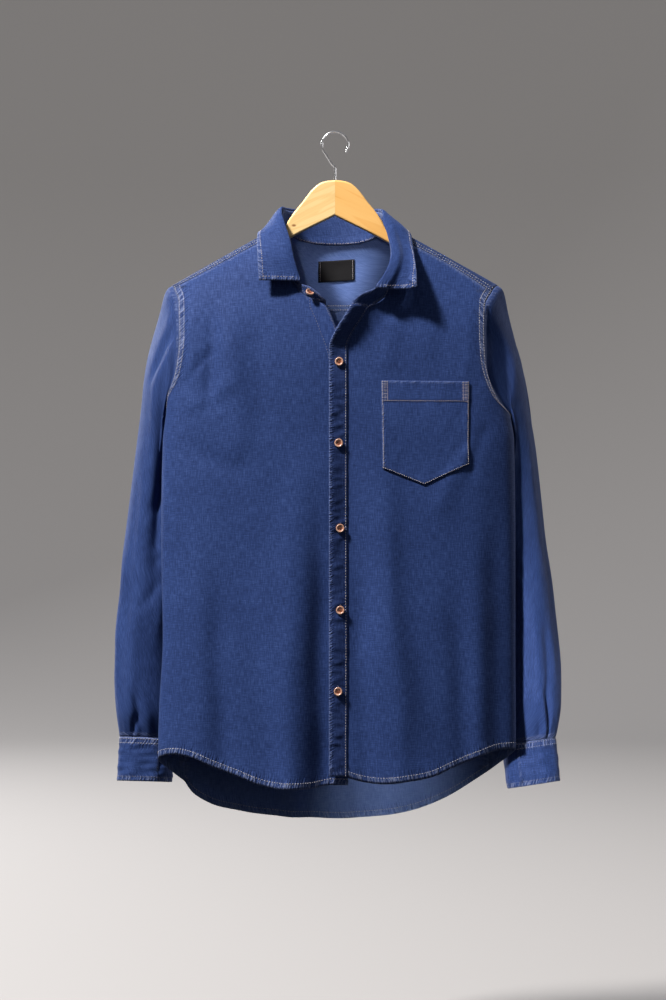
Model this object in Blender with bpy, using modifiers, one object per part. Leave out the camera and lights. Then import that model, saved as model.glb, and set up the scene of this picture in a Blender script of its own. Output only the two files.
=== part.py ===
"""A long-sleeved denim shirt, buttoned on a flat wooden hanger.

The shirt is built from the pieces that are cut and sewn: two fronts, a back, a
yoke, sleeves, cuffs, a collar stand and its fall, a placket band, a pocket, a
neck label and buttons. Each piece is a thin wall of cloth.

Frame: +Z up, the front faces -Y, the wearer's left is +X, and the origin is the
inner top of the hook, where the hanger hangs. Tables and sizes are in
millimetres; meshes are made in metres.
"""
import math

import bmesh
import bpy
import numpy as np
from mathutils import Vector

MM = 0.001

# ---- driving dimensions, millimetres ------------------------------------------
CLOTH = 1.2             # one wall of shirt cloth
BAND = 1.4              # placket, pocket hem and collar walls
LABEL = 1.0             # wall of the neck label
SEAM = 0.5              # gap between two pieces that are sewn edge to edge
LAY = 0.4               # gap between a piece and the panel that it lies on
LAP = CLOTH + LAY       # the over front stands out by one layer where it laps

RIDGE_TOP = -75.0       # shoulder line: z = RIDGE_TOP - RIDGE_SLOPE * hypot(x, RIDGE_ROUND)
RIDGE_SLOPE = 0.58
RIDGE_ROUND = 40.0
FRONT_POWER = 2.8       # roundness of a body section, front half and back half
BACK_POWER = 1.7
FRONT_SPREAD = 60.0     # drop below the shoulder line over which each side fills out
BACK_SPREAD = 45.0
SIDE_SEAM = 1.2         # place round the section: 0 front centre, 1 side, 2 back centre

EDGE_OVER = -8.0        # x of the placket's free edge
EDGE_UNDER = 17.0       # x of the under front's edge, hidden behind the placket
PLACKET_WIDTH = 24.0
BUTTON_DIAMETER = 11.5
BUTTON_THICKNESS = 3.0
LABEL_SIZE = (50.0, 29.0)
LABEL_CENTRE = (2.0, -177.5)
YOKE_BACK_Z = -231.0    # seam between yoke and back
TIP_X = 217.0           # where the shoulder line meets the armholes

# body sections, top to bottom: half widths, y of the sides, depths from there
BODY_COLUMNS = ("z", "right", "left", "side_y", "front", "back")
BODY = (
    (-60, 228, 230, 2, 52, 84),
    (-140, 228, 230, 2, 54, 84),
    (-200, 226, 229, 0, 60, 80),
    (-260, 224, 228, -9, 58, 82),
    (-360, 222, 229, -20, 49, 92),
    (-410, 227, 236, -22, 47, 94),
    (-540, 229, 237.5, -24, 46, 92),
    (-670, 227, 237.5, -24, 46, 88),
    (-765, 232, 238, -23, 45, 84),
    (-830, 233.5, 238.5, -22, 44, 80),
    (-925, 234, 239, -22, 44, 78),
)

# seams of the fronts as x, z; the wearer's right side first
NECK_RIGHT = ((-36, -222), (-50, -208), (-62, -186), (-69, -158), (-70, -130))
NECK_LEFT = ((46, -236), (63, -224), (74, -198), (77, -166), (75, -137.5))
YOKE_FRONT_RIGHT = ((-70, -130), (-100, -147), (-150, -174), (-214, -207))
YOKE_FRONT_LEFT = ((75, -137.5), (105, -152), (150, -176), (207, -213))
ARMHOLE_RIGHT = ((-214, -207), (-204, -226), (-201, -268), (-204, -303), (-213, -337), (-221, -361))
ARMHOLE_LEFT = ((207, -213), (198, -230), (196, -268), (197, -303), (204, -336), (216, -360))
# back of the neck seam as x, z, face (-1 front, 0 on the shoulder line, 1 back)
NECK_BACK = (
    (-70, -130, -1), (-70, 0, 0), (-64, -127, 1), (-52, -135, 1), (-30, -140, 1), (0, -141.5, 1),
    (30, -140, 1), (52, -135, 1), (65, -127, 1), (74, 0, 0), (75, -137.5, -1),
)
# back of the armhole as place round the section, z
ARMHOLE_UNDERARM = (SIDE_SEAM, -398)
ARMHOLE_BACK = ((1.3, -370), (1.36, -320), (1.33, -270), (1.29, YOKE_BACK_Z))

HEM_RIGHT = ((-11, -859), (-36, -863), (-66, -863), (-96, -859), (-126, -848), (-156, -837),
             (-186, -824), (-209, -820), (-233, -827))
HEM_LEFT = ((-8, -847), (13, -848), (28, -853), (60, -857), (92, -854), (125, -848),
            (157, -835), (190, -822), (224, -814), (237, -814))
HEM_BACK = ((-192, -876), (-168, -893), (-131, -905), (-69, -914), (0, -918),
            (74, -911), (115, -902), (146, -888), (167, -875), (193, -857))
HEM_SIDE_RIGHT = -862
HEM_SIDE_LEFT = -848

# free edges of the two fronts as z, x
EDGE_UNDER_PATH = ((-222, -12), (-257, 3), (-300, 14), (-340, EDGE_UNDER), (-870, EDGE_UNDER))
EDGE_OVER_PATH = ((-231, 22), (-252, 10), (-268, 0), (-290, EDGE_OVER), (-870, EDGE_OVER))
EDGE_TOP = (-222, -231)

# soft folds: a line from x0, z0 to x1, z1, its half width and height out of the cloth
FOLD_COLUMNS = ("face", "x0", "z0", "x1", "z1", "width", "height")
FOLDS = (
    (-1, -193, -235, -188, -335, 9, 2.5),
    (-1, -172, -235, -165, -370, 12, -4.0),
    (-1, -205, -350, -155, -295, 8, -2.5),
    (-1, -110, -560, -72, -880, 26, 6.0),
    (-1, -52, -600, -28, -880, 20, -6.0),
    (-1, -185, -470, -178, -830, 20, 3.5),
    (-1, 208, -430, 214, -810, 15, -4.0),
    (-1, 110, -640, 132, -850, 26, 3.0),
    (1, -70, -260, -58, -900, 22, -8.0),
    (1, -20, -270, -26, -900, 24, 5.0),
    (1, 62, -250, 74, -900, 24, -7.0),
    (1, 128, -330, 120, -870, 20, 5.0),
    (1, -130, -320, -128, -880, 20, 5.0),
)

# sleeves: outer and inner line, middle y, half depth, from the armhole down
SLEEVE_COLUMNS = ("outer_x", "outer_z", "inner_x", "inner_z", "mid_y", "depth")
SLEEVE_RIGHT = (
    (-219, -205, -203, -398, 6, 44),
    (-236, -240, -203, -408, 14, 50),
    (-253, -299, -202, -425, 28, 54),
    (-262, -380, -201, -455, 42, 56),
    (-272, -450, -201, -500, 49, 55),
    (-285, -552, -203, -575, 51, 52),
    (-290, -613, -206, -622, 50, 49),
    (-296.5, -676, -211, -680, 49, 47),
    (-297, -717, -214, -719, 48, 46),
    (-294, -769, -215, -771, 46, 42),
    (-290, -806, -219, -809, 45, 36),
)
SLEEVE_LEFT = (
    (219, -206, 206, -398, 6, 44),
    (236, -250, 207, -410, 14, 50),
    (250, -299, 208, -427, 28, 54),
    (264, -380, 209, -457, 42, 56),
    (274, -451, 210, -500, 49, 55),
    (286, -550, 213, -573, 51, 52),
    (293, -600, 217, -622, 50, 49),
    (302, -676, 222, -690, 49, 47),
    (305, -721, 225, -731, 48, 46),
    (304, -761, 226, -776, 46, 42),
    (297, -807, 225, -818, 45, 36),
)
SLEEVE_CLEAR = 5.0      # between a hanging sleeve and the body
CUFF_RIGHT = {"top": (-290, -806, -219, -809), "bottom": (-293.5, -865, -219, -867)}
CUFF_LEFT = {"top": (297, -807, 225, -818), "bottom": (303.5, -865, 232, -876)}
CUFF_Y = 45.0
CUFF_DEPTH = 37.0

# collar: fold line and outer edge of the fall, from the right front round the back
COLLAR_COLUMNS = ("fold_x", "fold_y", "fold_z", "edge_x", "edge_y", "edge_z")
COLLAR = (
    (-44.5, -60, -195.5, -99, -62, -200),
    (-52.5, -53, -172.5, -101, -54, -170),
    (-58, -40, -146.5, -103, -30, -144),
    (-66, -18, -120.5, -102, -6, -133),
    (-71, 6, -101, -96, 20, -134),
    (-68, 32, -94, -84, 48, -142),
    (-50, 58, -94, -60, 72, -149),
    (-26, 70, -95, -32, 84, -154),
    (0, 73, -96, 0, 87, -156),
    (26, 70, -95, 32, 84, -156),
    (47, 58, -94, 60, 72, -153),
    (60, 32, -97, 82, 48, -146),
    (62, 6, -105, 94, 20, -135),
    (62, -15, -117, 100, -6, -134),
    (69, -40, -142, 103, -38, -160),
    (72.5, -55, -163, 105, -60, -186),
    (66, -65, -189, 105.5, -67, -200),
    (51, -68, -212, 106, -70, -212),
)
FALL_ROLL = 5.0         # height of the fold above the stand's top edge
STAND_GAP = 2.8         # along the stand, between its lower edge and the neck seam
STAND_END_RIGHT = ((-32, -60, -201), (-17, -61, -211), (-12.5, -61, -219))
STAND_END_LEFT = ((42, -70, -219.5), (29, -71, -221), (23, -71, -228))

BUTTON_Z = (-308, -413.5, -524, -630.5, -736)
BUTTON_X = (5.2, 4.7, 6.5, 6.8, 3.9)

POCKET_OUTLINE = ((61, -332.5), (174.5, -333), (174, -441), (116, -468), (62.5, -446.5))

# hanger half: the upper and lower outline as x, z from the centre to the tip
HANGER_TOP = ((0, -63), (12, -64.3), (21, -67.5), (29, -74), (37, -83.5), (44, -93), (51.5, -102),
              (57.5, -110), (63, -118.5), (67, -126.5), (73, -131.5))
HANGER_ARM = (92, 115, 140, 165, 183, 196)      # x of the arm's top points, close under the yoke
HANGER_CLEAR = 3.3
HANGER_BOTTOM = ((201, -206), (196, -212), (180, -210), (140, -190), (100, -165), (72, -147), (0, -110))
HANGER_THICKNESS = 11.0
HANGER_EDGE = 2.5

HOOK_WIRE = 3.0
HOOK_RADIUS = 17.5
HOOK_SHANK_TOP = -47.0
HOOK_SHANK_FOOT = -85.0

# ---- mesh density ---------------------------------------------------------------
ROWS_ARMHOLE_FRONT = 10
ROWS_ARMHOLE_BACK = 8
ROWS_ARMHOLE_YOKE = 6
ROWS_BODY = 11
COLUMNS_PLACKET = 2
COLUMNS_NECK = 4
COLUMNS_SHOULDER = 8
COLUMNS_NECK_BACK = 12
SLEEVE_RINGS = 16
COLLAR_STATIONS = 34
PROFILE_STEPS = 400


# ---- curves ---------------------------------------------------------------------
def slopes(xs, ys):
    """Tangents of a smooth curve through a table's rows, with no overshoot."""
    steps = np.diff(ys, axis=0) / np.diff(xs)[:, None]
    tangents = np.empty_like(ys)
    tangents[0] = steps[0]
    tangents[-1] = steps[-1]
    before = np.diff(xs)[:-1, None]
    after = np.diff(xs)[1:, None]
    mean = (steps[:-1] * after + steps[1:] * before) / (before + after)
    limit = 2 * np.minimum(np.abs(steps[:-1]), np.abs(steps[1:]))
    tangents[1:-1] = np.where(steps[:-1] * steps[1:] > 0, np.clip(mean, -limit, limit), 0)
    return tangents


def smooth(xs, ys, x):
    """Smooth curve through (xs, ys) read at x; held constant past the ends."""
    xs = np.asarray(xs, float)
    ys = np.asarray(ys, float)
    flat = ys.ndim == 1
    ys = ys[:, None] if flat else ys
    x = np.clip(np.atleast_1d(np.asarray(x, float)), xs[0], xs[-1])
    row = np.clip(np.searchsorted(xs, x, side="right") - 1, 0, len(xs) - 2)
    span = xs[row + 1] - xs[row]
    u = ((x - xs[row]) / span)[:, None]
    tangents = slopes(xs, ys)
    span = span[:, None]
    value = (
        ys[row] * (2 * u**3 - 3 * u**2 + 1)
        + tangents[row] * span * (u**3 - 2 * u**2 + u)
        + ys[row + 1] * (3 * u**2 - 2 * u**3)
        + tangents[row + 1] * span * (u**3 - u**2)
    )
    return value[:, 0] if flat else value


def through(points, count, place=None):
    """count + 1 points evenly spaced along a smooth curve through points.

    place maps curve points to space where they aren't already in it.
    """
    points = np.asarray(points, float)
    corners = place(points) if place else points
    chord = np.r_[0, np.cumsum(np.linalg.norm(np.diff(corners, axis=0), axis=1))]
    dense = smooth(chord, points, np.linspace(0, chord[-1], 200))
    spots = place(dense) if place else dense
    run = np.r_[0, np.cumsum(np.linalg.norm(np.diff(spots, axis=0), axis=1))]
    wanted = np.linspace(0, run[-1], count + 1)
    return np.column_stack([np.interp(wanted, run, dense[:, k]) for k in range(dense.shape[1])])


def column(table, columns, name):
    return np.array([row[columns.index(name)] for row in table], float)


def ease(x, start, end):
    """0 at start, 1 at end, smooth between."""
    u = np.clip((np.asarray(x, float) - start) / (end - start), 0, 1)
    return u * u * (3 - 2 * u)


# ---- the body surface -------------------------------------------------------------
def unit_section(power, aspect):
    """A quarter of a rounded section: how far along, width share, depth share."""
    angle = np.linspace(0, math.pi / 2, PROFILE_STEPS)
    wide = np.sin(angle) ** (2 / power)
    deep = np.cos(angle) ** (2 / power)
    run = np.r_[0, np.cumsum(np.hypot(np.diff(wide), np.diff(deep) * aspect))]
    return run / run[-1], wide, deep


FRONT_SECTION = unit_section(FRONT_POWER, 0.22)
BACK_SECTION = unit_section(BACK_POWER, 0.4)


def body_value(name, z):
    order = np.argsort(column(BODY, BODY_COLUMNS, "z"))
    zs = column(BODY, BODY_COLUMNS, "z")[order]
    return smooth(zs, column(BODY, BODY_COLUMNS, name)[order], z)


def half_width(x_sign, z):
    return np.where(x_sign < 0, body_value("right", z), body_value("left", z))


def ridge_z(x):
    return RIDGE_TOP - RIDGE_SLOPE * np.hypot(x, RIDGE_ROUND)


def fold_depth(face, x, z):
    """How far the soft folds lift the cloth at x, z on the front or the back."""
    lift = np.zeros_like(np.asarray(x, float))
    for row in FOLDS:
        fold = dict(zip(FOLD_COLUMNS, row))
        along = np.array([fold["x1"] - fold["x0"], fold["z1"] - fold["z0"]], float)
        length = np.hypot(*along)
        along /= length
        run = (x - fold["x0"]) * along[0] + (z - fold["z0"]) * along[1]
        off = (x - fold["x0"]) * along[1] - (z - fold["z0"]) * along[0]
        fade = ease(run, 0, 0.3 * length) * (1 - ease(run, 0.8 * length, length))
        if abs(fold["z1"]) > 800:
            fade = ease(run, 0, 0.45 * length)
        lift = lift + np.where(face == fold["face"], fold["height"] * fade, 0) * np.exp(
            -((off / fold["width"]) ** 2))
    return lift


def surface(x, z, face, deep):
    """A point of the shirt's outer face: deep is the section's depth share there."""
    drop = np.maximum(ridge_z(x) - z, 0)
    front = body_value("front", z) * np.sqrt(1 - np.exp(-drop / FRONT_SPREAD))
    back = body_value("back", z) * np.sqrt(1 - np.exp(-drop / BACK_SPREAD))
    lift = fold_depth(face, x, z)
    y = body_value("side_y", z) + np.where(face < 0, -(front + lift), back + lift) * deep
    return np.column_stack([x, y, z])


def body(points):
    """Points (place round, z) on the body: 0 front centre, +-1 sides, +-2 back centre."""
    place, z = np.asarray(points, float).T
    sign = np.where(place < 0, -1.0, 1.0)
    round_to = np.abs(place)
    face = np.where(round_to <= 1, -1, 1)
    from_centre = np.where(round_to <= 1, round_to, 2 - round_to)
    wide = np.where(face < 0, np.interp(from_centre, FRONT_SECTION[0], FRONT_SECTION[1]),
                    np.interp(from_centre, BACK_SECTION[0], BACK_SECTION[1]))
    deep = np.where(face < 0, np.interp(from_centre, FRONT_SECTION[0], FRONT_SECTION[2]),
                    np.interp(from_centre, BACK_SECTION[0], BACK_SECTION[2]))
    return surface(sign * half_width(sign, z) * wide, z, face, deep)


def back_body(points):
    """Points (share from the back centre, z) on the back."""
    share, z = np.asarray(points, float).T
    sign = np.where(share < 0, -1.0, 1.0)
    return body(np.column_stack([sign * (2 - np.abs(share)), z]))


def place_of(x, z, face):
    """The place round the section of a point at x, z on the front or the back."""
    x = np.asarray(x, float)
    z = np.broadcast_to(np.asarray(z, float), x.shape)
    sign = np.where(x < 0, -1.0, 1.0)
    share = np.clip(np.abs(x) / half_width(sign, z), 0, 1)
    front = np.interp(share, FRONT_SECTION[1], FRONT_SECTION[0])
    back = 2 - np.interp(share, BACK_SECTION[1], BACK_SECTION[0])
    return sign * np.where(np.asarray(face) <= 0, front, back)


def front_at(points):
    """Points given as x, z on the front."""
    x, z = np.asarray(points, float).T
    return body(np.column_stack([place_of(x, z, -1), z]))


def over_shoulder(points):
    """Points (x, t) near the shoulder line: t*t is the drop, t < 0 on the front."""
    x, t = np.asarray(points, float).T
    z = ridge_z(x) - t * t
    face = np.where(t < 0, -1, 1)
    share = np.clip(np.abs(x) / half_width(np.where(x < 0, -1.0, 1.0), z), 0, 1)
    front = np.interp(share, FRONT_SECTION[1], FRONT_SECTION[2])
    back = np.interp(share, BACK_SECTION[1], BACK_SECTION[2])
    return surface(x, z, face, np.where(face < 0, front, back))


def to_shoulder(x, z, face):
    """The shoulder coordinates (x, t) of a point at x, z."""
    drop = np.maximum(ridge_z(np.asarray(x, float)) - np.asarray(z, float), 0)
    return np.column_stack([x, np.asarray(face) * np.sqrt(drop)])


def clear_of_body(points, gap):
    """Points pushed out of the body's sections, from their middles, until gap clear."""
    x, y, z = points.T
    front = y < body_value("side_y", z)
    power = np.where(front, FRONT_POWER, BACK_POWER)
    depth = np.where(front, body_value("front", z), body_value("back", z)) + gap
    wide = half_width(x, z) + gap
    out = y - body_value("side_y", z)
    reach = ((np.abs(x) / wide) ** power + (np.abs(out) / depth) ** power) ** (1 / power)
    grow = np.where(reach < 1, 1 / np.maximum(reach, 0.3), 1)
    return np.column_stack([x * grow, body_value("side_y", z) + out * grow, z])


def clear_of_shoulders(points, gap):
    """Points pushed forward or back until they are gap clear of the shoulders."""
    x, y, z = points.T
    drop = np.maximum(ridge_z(x) + gap - z, 0)
    share = np.clip(np.abs(x) / half_width(x, z), 0, 1)
    middle = body_value("side_y", z)
    front = body_value("front", z) * np.sqrt(1 - np.exp(-drop / FRONT_SPREAD))
    front = middle - front * np.interp(share, FRONT_SECTION[1], FRONT_SECTION[2]) - gap
    front -= np.where(x > 0, over_lift(points), 0)
    back = body_value("back", z) * np.sqrt(1 - np.exp(-drop / BACK_SPREAD))
    back = middle + back * np.interp(share, BACK_SECTION[1], BACK_SECTION[2]) + gap
    clear = np.where(y < middle, np.minimum(y, front), np.maximum(y, back))
    return np.column_stack([x, np.where(drop > 0, clear, y), z])


# ---- seams that two pieces share --------------------------------------------------
def armhole_front(side):
    """The front of an armhole, from the yoke down to the underarm, as place, z."""
    rows = np.array(ARMHOLE_RIGHT if side < 0 else ARMHOLE_LEFT, float)
    spots = np.column_stack([place_of(rows[:, 0], rows[:, 1], -1), rows[:, 1]])
    below = np.array([[side * 1.08, -388], [side * ARMHOLE_UNDERARM[0], ARMHOLE_UNDERARM[1]]])
    return through(np.vstack([spots, below]), ROWS_ARMHOLE_FRONT, body)


def armhole_back(side):
    """The back of an armhole, from the underarm up to the yoke, as place, z."""
    rows = np.array((ARMHOLE_UNDERARM,) + ARMHOLE_BACK, float)
    rows[:, 0] *= side
    return through(rows, ROWS_ARMHOLE_BACK, body)


def armhole_yoke(side):
    """The yoke's edge at an armhole, from its back seam over to its front seam, as x, t."""
    back_x = body(armhole_back(side)[-1:])[0, 0]
    front = (YOKE_FRONT_RIGHT if side < 0 else YOKE_FRONT_LEFT)[-1]
    start = to_shoulder([back_x], [YOKE_BACK_Z], [1])[0]
    end = to_shoulder([front[0]], [front[1]], [-1])[0]
    path = np.array([end, [side * TIP_X, 0.0], start])
    t = np.linspace(start[1], end[1], ROWS_ARMHOLE_YOKE + 1)
    return np.column_stack([smooth(path[:, 1], path[:, 0], t), t])


def yoke_front(side):
    """The yoke's front seam from the neck out to the armhole, as x, z."""
    return through(YOKE_FRONT_RIGHT if side < 0 else YOKE_FRONT_LEFT, COLUMNS_SHOULDER, front_at)


def neck_front(side):
    """The neck seam of a front from its free edge up to the yoke, as x, z."""
    rows = NECK_RIGHT if side < 0 else NECK_LEFT
    top = EDGE_TOP[0 if side < 0 else 1]
    corner = (edge_x(side, top)[0], top)
    band = np.linspace(corner, rows[0], COLUMNS_PLACKET + 1)
    return np.vstack([band, through(rows, COLUMNS_NECK, front_at)[1:]])


def neck_back():
    """The neck seam of the yoke from right to left, as x, t."""
    rows = np.array(NECK_BACK, float)
    rows[:, 1] = np.where(rows[:, 2] == 0, ridge_z(rows[:, 0]), rows[:, 1])
    return through(to_shoulder(rows[:, 0], rows[:, 1], rows[:, 2]), COLUMNS_NECK_BACK, over_shoulder)


# ---- grids ------------------------------------------------------------------------
def patch(top, bottom, first, last, down=None, fades=(1, 1)):
    """A grid filled in between four edges; top and bottom run from first to last.

    down says how far down each row is, and fades how soon the bends of the first and
    of the last edge die out across the grid.
    """
    u = np.linspace(0, 1, len(top))[None, :, None]
    v = np.linspace(0, 1, len(first)) if down is None else down
    v = v[:, None, None]
    grid = (1 - v) * top[None] + v * bottom[None]
    for edge, weight, end in ((first, (1 - u) ** fades[0], 0), (last, u ** fades[1], -1)):
        straight = (1 - v[:, 0]) * top[end] + v[:, 0] * bottom[end]
        grid = grid + weight * (edge - straight)[:, None]
    return grid


def on(grid, place):
    """A grid of flat coordinates taken to space by place."""
    return place(grid.reshape(-1, 2)).reshape(grid.shape[0], grid.shape[1], 3)


def drawn_in(grid, gap=SEAM, rows=True, columns=True):
    """The grid with its edges drawn in by half a seam gap."""
    grid = grid.copy()
    pairs = []
    if rows:
        pairs += [((0,), (1,)), ((-1,), (-2,))]
    if columns:
        pairs += [((slice(None), 0), (slice(None), 1)), ((slice(None), -1), (slice(None), -2))]
    for edge, inner in pairs:
        step = grid[inner] - grid[edge]
        grid[edge] += step / np.linalg.norm(step, axis=-1, keepdims=True) * gap / 2
    return grid


def normals(grid):
    """Unit normals of a grid, to the side that rows x columns gives."""
    down = np.gradient(grid, axis=0)
    across = np.gradient(grid, axis=1)
    normal = np.cross(across, down)
    return normal / np.linalg.norm(normal, axis=-1, keepdims=True)


# ---- making objects -----------------------------------------------------------------
def material(name, colour, roughness, metallic=0.0):
    made = bpy.data.materials.new(name)
    made.use_nodes = True
    shader = made.node_tree.nodes["Principled BSDF"]
    shader.inputs["Base Color"].default_value = (*colour, 1.0)
    shader.inputs["Roughness"].default_value = roughness
    shader.inputs["Metallic"].default_value = metallic
    made.diffuse_color = (*colour, 1.0)
    return made


def mesh_object(name, points, faces, finish):
    mesh = bpy.data.meshes.new(name)
    mesh.from_pydata([tuple(p) for p in np.asarray(points) * MM], [], faces)
    mesh.validate()
    mesh.shade_smooth()
    made = bpy.data.objects.new(name, mesh)
    made.data.materials.append(finish)
    SHIRT.objects.link(made)
    return made


def grid_faces(rows, columns, ring):
    """Quads of a grid; ring joins its last column to its first."""
    faces = []
    for i in range(rows - 1):
        for j in range(columns if ring else columns - 1):
            k = (j + 1) % columns
            faces.append((i * columns + j, (i + 1) * columns + j, (i + 1) * columns + k, i * columns + k))
    return faces


def cloth(name, grid, finish, wall=CLOTH, ring=False, turned=False):
    """A sheet from a grid of its outer face, with its thickness on the inner side."""
    rows, columns = grid.shape[:2]
    faces = grid_faces(rows, columns, ring)
    if turned:
        faces = [face[::-1] for face in faces]
    made = mesh_object(name, grid.reshape(-1, 3), faces, finish)
    thickness = made.modifiers.new("thickness", "SOLIDIFY")
    thickness.thickness = wall * MM
    thickness.offset = -1.0
    return made


# ---- the pieces ----------------------------------------------------------------------
def edge_x(side, z):
    """x of a front's free edge at height z."""
    path = np.array(EDGE_UNDER_PATH if side < 0 else EDGE_OVER_PATH, float)[::-1]
    return smooth(path[:, 0], path[:, 1], z)


def over_lift(points):
    """How far the over front stands out from the body surface at x, z."""
    x, z = points[..., 0], points[..., 2]
    lap = LAP * (1 - ease(x, 30, 90))
    flare = 9.0 * ease(z, -300, -235) * (1 - ease(x, 15, 75))
    return lap + flare


def front_grid(side):
    """A front from its free edge to the side seam, rows from the neck down to the hem.

    Its first columns are the band along the free edge, where the placket lies.
    """
    top = np.vstack([neck_front(side), yoke_front(side)[1:]])
    top = np.column_stack([place_of(top[:, 0], top[:, 1], -1), top[:, 1]])
    seam_end = HEM_SIDE_RIGHT if side < 0 else HEM_SIDE_LEFT
    seam = np.column_stack([np.full(ROWS_BODY, side * SIDE_SEAM),
                            np.linspace(ARMHOLE_UNDERARM[1], seam_end, ROWS_BODY + 1)[1:]])
    last = np.vstack([armhole_front(side), seam])
    hem = np.array(HEM_RIGHT if side < 0 else HEM_LEFT, float)
    run = np.r_[0, np.cumsum(np.linalg.norm(np.diff(body(last), axis=0), axis=1))]
    down = run / run[-1]
    z = top[0, 1] + (hem[0, 1] - top[0, 1]) * down
    bands = []
    for share in np.linspace(0, 1, COLUMNS_PLACKET + 1):
        x = edge_x(side, z) + side * share * PLACKET_WIDTH
        bands.append(np.column_stack([place_of(x, z, -1), z]))
    bands = np.stack(bands, axis=1)
    bands[0] = top[:COLUMNS_PLACKET + 1]
    hem_at = hem[np.argsort(hem[:, 0])]
    bands[-1, :, 1] = smooth(hem_at[:, 0], hem_at[:, 1], body(bands[-1])[:, 0])
    corner = body(bands[-1, -1:])[0]
    beyond = hem[side * (hem[:, 0] - corner[0]) > 5]
    hem_places = np.vstack([
        bands[-1, -1:],
        np.column_stack([place_of(beyond[:, 0], beyond[:, 1], -1), beyond[:, 1]]),
        [[side * 1.1, (beyond[-1, 1] + seam_end) / 2], [side * SIDE_SEAM, seam_end]],
    ])
    rest = top[COLUMNS_PLACKET:]
    bottom = through(hem_places, len(rest) - 1, body)
    panel = patch(rest, bottom, bands[:, -1], last, down, fades=(5, 2.2))
    grid = on(np.concatenate([bands[:, :-1], panel], axis=1), body)
    if side > 0:
        grid[..., 1] -= over_lift(grid)
    return grid


def make_front(side, name):
    grid = drawn_in(front_grid(side))
    return cloth(name, grid, DENIM, turned=side < 0)


def back_grid():
    """The back below the yoke, columns from right to left, rows down to the hem."""
    right = armhole_back(-1)[::-1]
    left = armhole_back(1)[::-1]
    top = yoke_seam_back()
    top = np.column_stack([np.sign(top[:, 0]) * (2 - np.abs(place_of(top[:, 0], top[:, 1], 1))), top[:, 1]])
    edges = []
    for side, armhole in ((-1, right), (1, left)):
        share = np.column_stack([side * (2 - np.abs(armhole[:, 0])), armhole[:, 1]])
        seam_end = HEM_SIDE_RIGHT if side < 0 else HEM_SIDE_LEFT
        seam = np.column_stack([np.full(ROWS_BODY, side * (2 - SIDE_SEAM)),
                                np.linspace(ARMHOLE_UNDERARM[1], seam_end, ROWS_BODY + 1)[1:]])
        edges.append(np.vstack([share, seam]))
    hem = np.array(HEM_BACK, float)
    share = np.sign(hem[:, 0]) * (2 - np.abs(place_of(hem[:, 0], hem[:, 1], 1)))
    hem = np.column_stack([share, hem[:, 1]])
    hem = np.vstack([edges[0][-1:], hem, edges[1][-1:]])
    bottom = through(hem, len(top) - 1, back_body)
    return on(patch(top, bottom, edges[0], edges[1]), back_body)


def yoke_seam_back():
    """The seam between yoke and back from right to left, as x, z."""
    ends = [body(armhole_back(side)[-1:])[0, 0] for side in (-1, 1)]
    count = 2 * COLUMNS_SHOULDER + COLUMNS_NECK_BACK
    x = np.linspace(ends[0], ends[1], count + 1)
    return np.column_stack([x, np.full(count + 1, YOKE_BACK_Z)])


def yoke_grid():
    """The yoke, columns from right to left, rows from the back seam to the neck."""
    right = yoke_front(-1)[::-1]
    left = yoke_front(1)
    neck = neck_back()
    right = to_shoulder(right[:, 0], right[:, 1], -1)
    left = to_shoulder(left[:, 0], left[:, 1], -1)
    top = np.vstack([right[:-1], neck, left[1:]])
    seam = yoke_seam_back()
    bottom = to_shoulder(seam[:, 0], seam[:, 1], 1)
    return on(patch(bottom, top, armhole_yoke(-1), armhole_yoke(1)), over_shoulder)


def armhole_ring(side):
    """The whole armhole from the yoke's front corner down, round and back, in space."""
    front = body(armhole_front(side))
    back = body(armhole_back(side))
    yoke = over_shoulder(armhole_yoke(side))
    return np.vstack([front, back[1:], yoke[1:-1]])


def sleeve_rings(side):
    """The sleeve as rings from the armhole down to the cuff."""
    table = SLEEVE_RIGHT if side < 0 else SLEEVE_LEFT
    ring = armhole_ring(side)
    count = len(ring)
    run = np.linalg.norm(np.roll(ring, -1, axis=0) - ring, axis=1)
    along = np.r_[0, np.cumsum(run)]
    top = along[-1] - 0.25 * run[-ROWS_ARMHOLE_YOKE // 2:].sum()
    under = along[ROWS_ARMHOLE_FRONT]
    angle = np.empty(count)
    for k in range(count):
        forward = (along[k] - (top - along[-1])) / (under - (top - along[-1]))
        behind = (along[k] - under) / (top - under)
        angle[k] = math.pi * forward if k <= ROWS_ARMHOLE_FRONT else math.pi * (1 + behind)
    rows = np.array(table, float)
    stations = np.linspace(0, len(rows) - 1, SLEEVE_RINGS + 1)
    values = smooth(np.arange(len(rows)), rows, stations)
    centre = ring.mean(axis=0)
    rings = []
    for station, value in zip(stations, values):
        outer = np.array([value[0], value[4], value[1]])
        inner = np.array([value[2], value[4], value[3]])
        middle = (outer + inner) / 2
        reach = (outer - inner) / 2
        front = np.array([0.0, -value[5], 0.0])
        shape = middle + np.outer(np.cos(angle), reach) + np.outer(np.sin(angle), front)
        blend = ease(station, 0, 2.6)
        rings.append((1 - blend) * (ring + middle - (rows[0, [0, 4, 1]] + rows[0, [2, 4, 3]]) / 2)
                     + blend * shape)
    rings = np.array(rings)
    rings[0] = ring
    below = 1 - ease(rings[1:, :, 2], -385, -325)
    pushed = clear_of_body(rings[1:].reshape(-1, 3), SLEEVE_CLEAR).reshape(rings[1:].shape)
    rings[1:] += (pushed - rings[1:]) * below[..., None]
    return rings


def make_sleeve(side, name):
    rings = sleeve_rings(side)
    armhole = drawn_in(rings, gap=2 * CLOTH, columns=False)[0]
    rings = drawn_in(rings, columns=False)
    rings[0] = armhole
    return cloth(name, rings, DENIM, ring=True, turned=side > 0)


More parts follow.
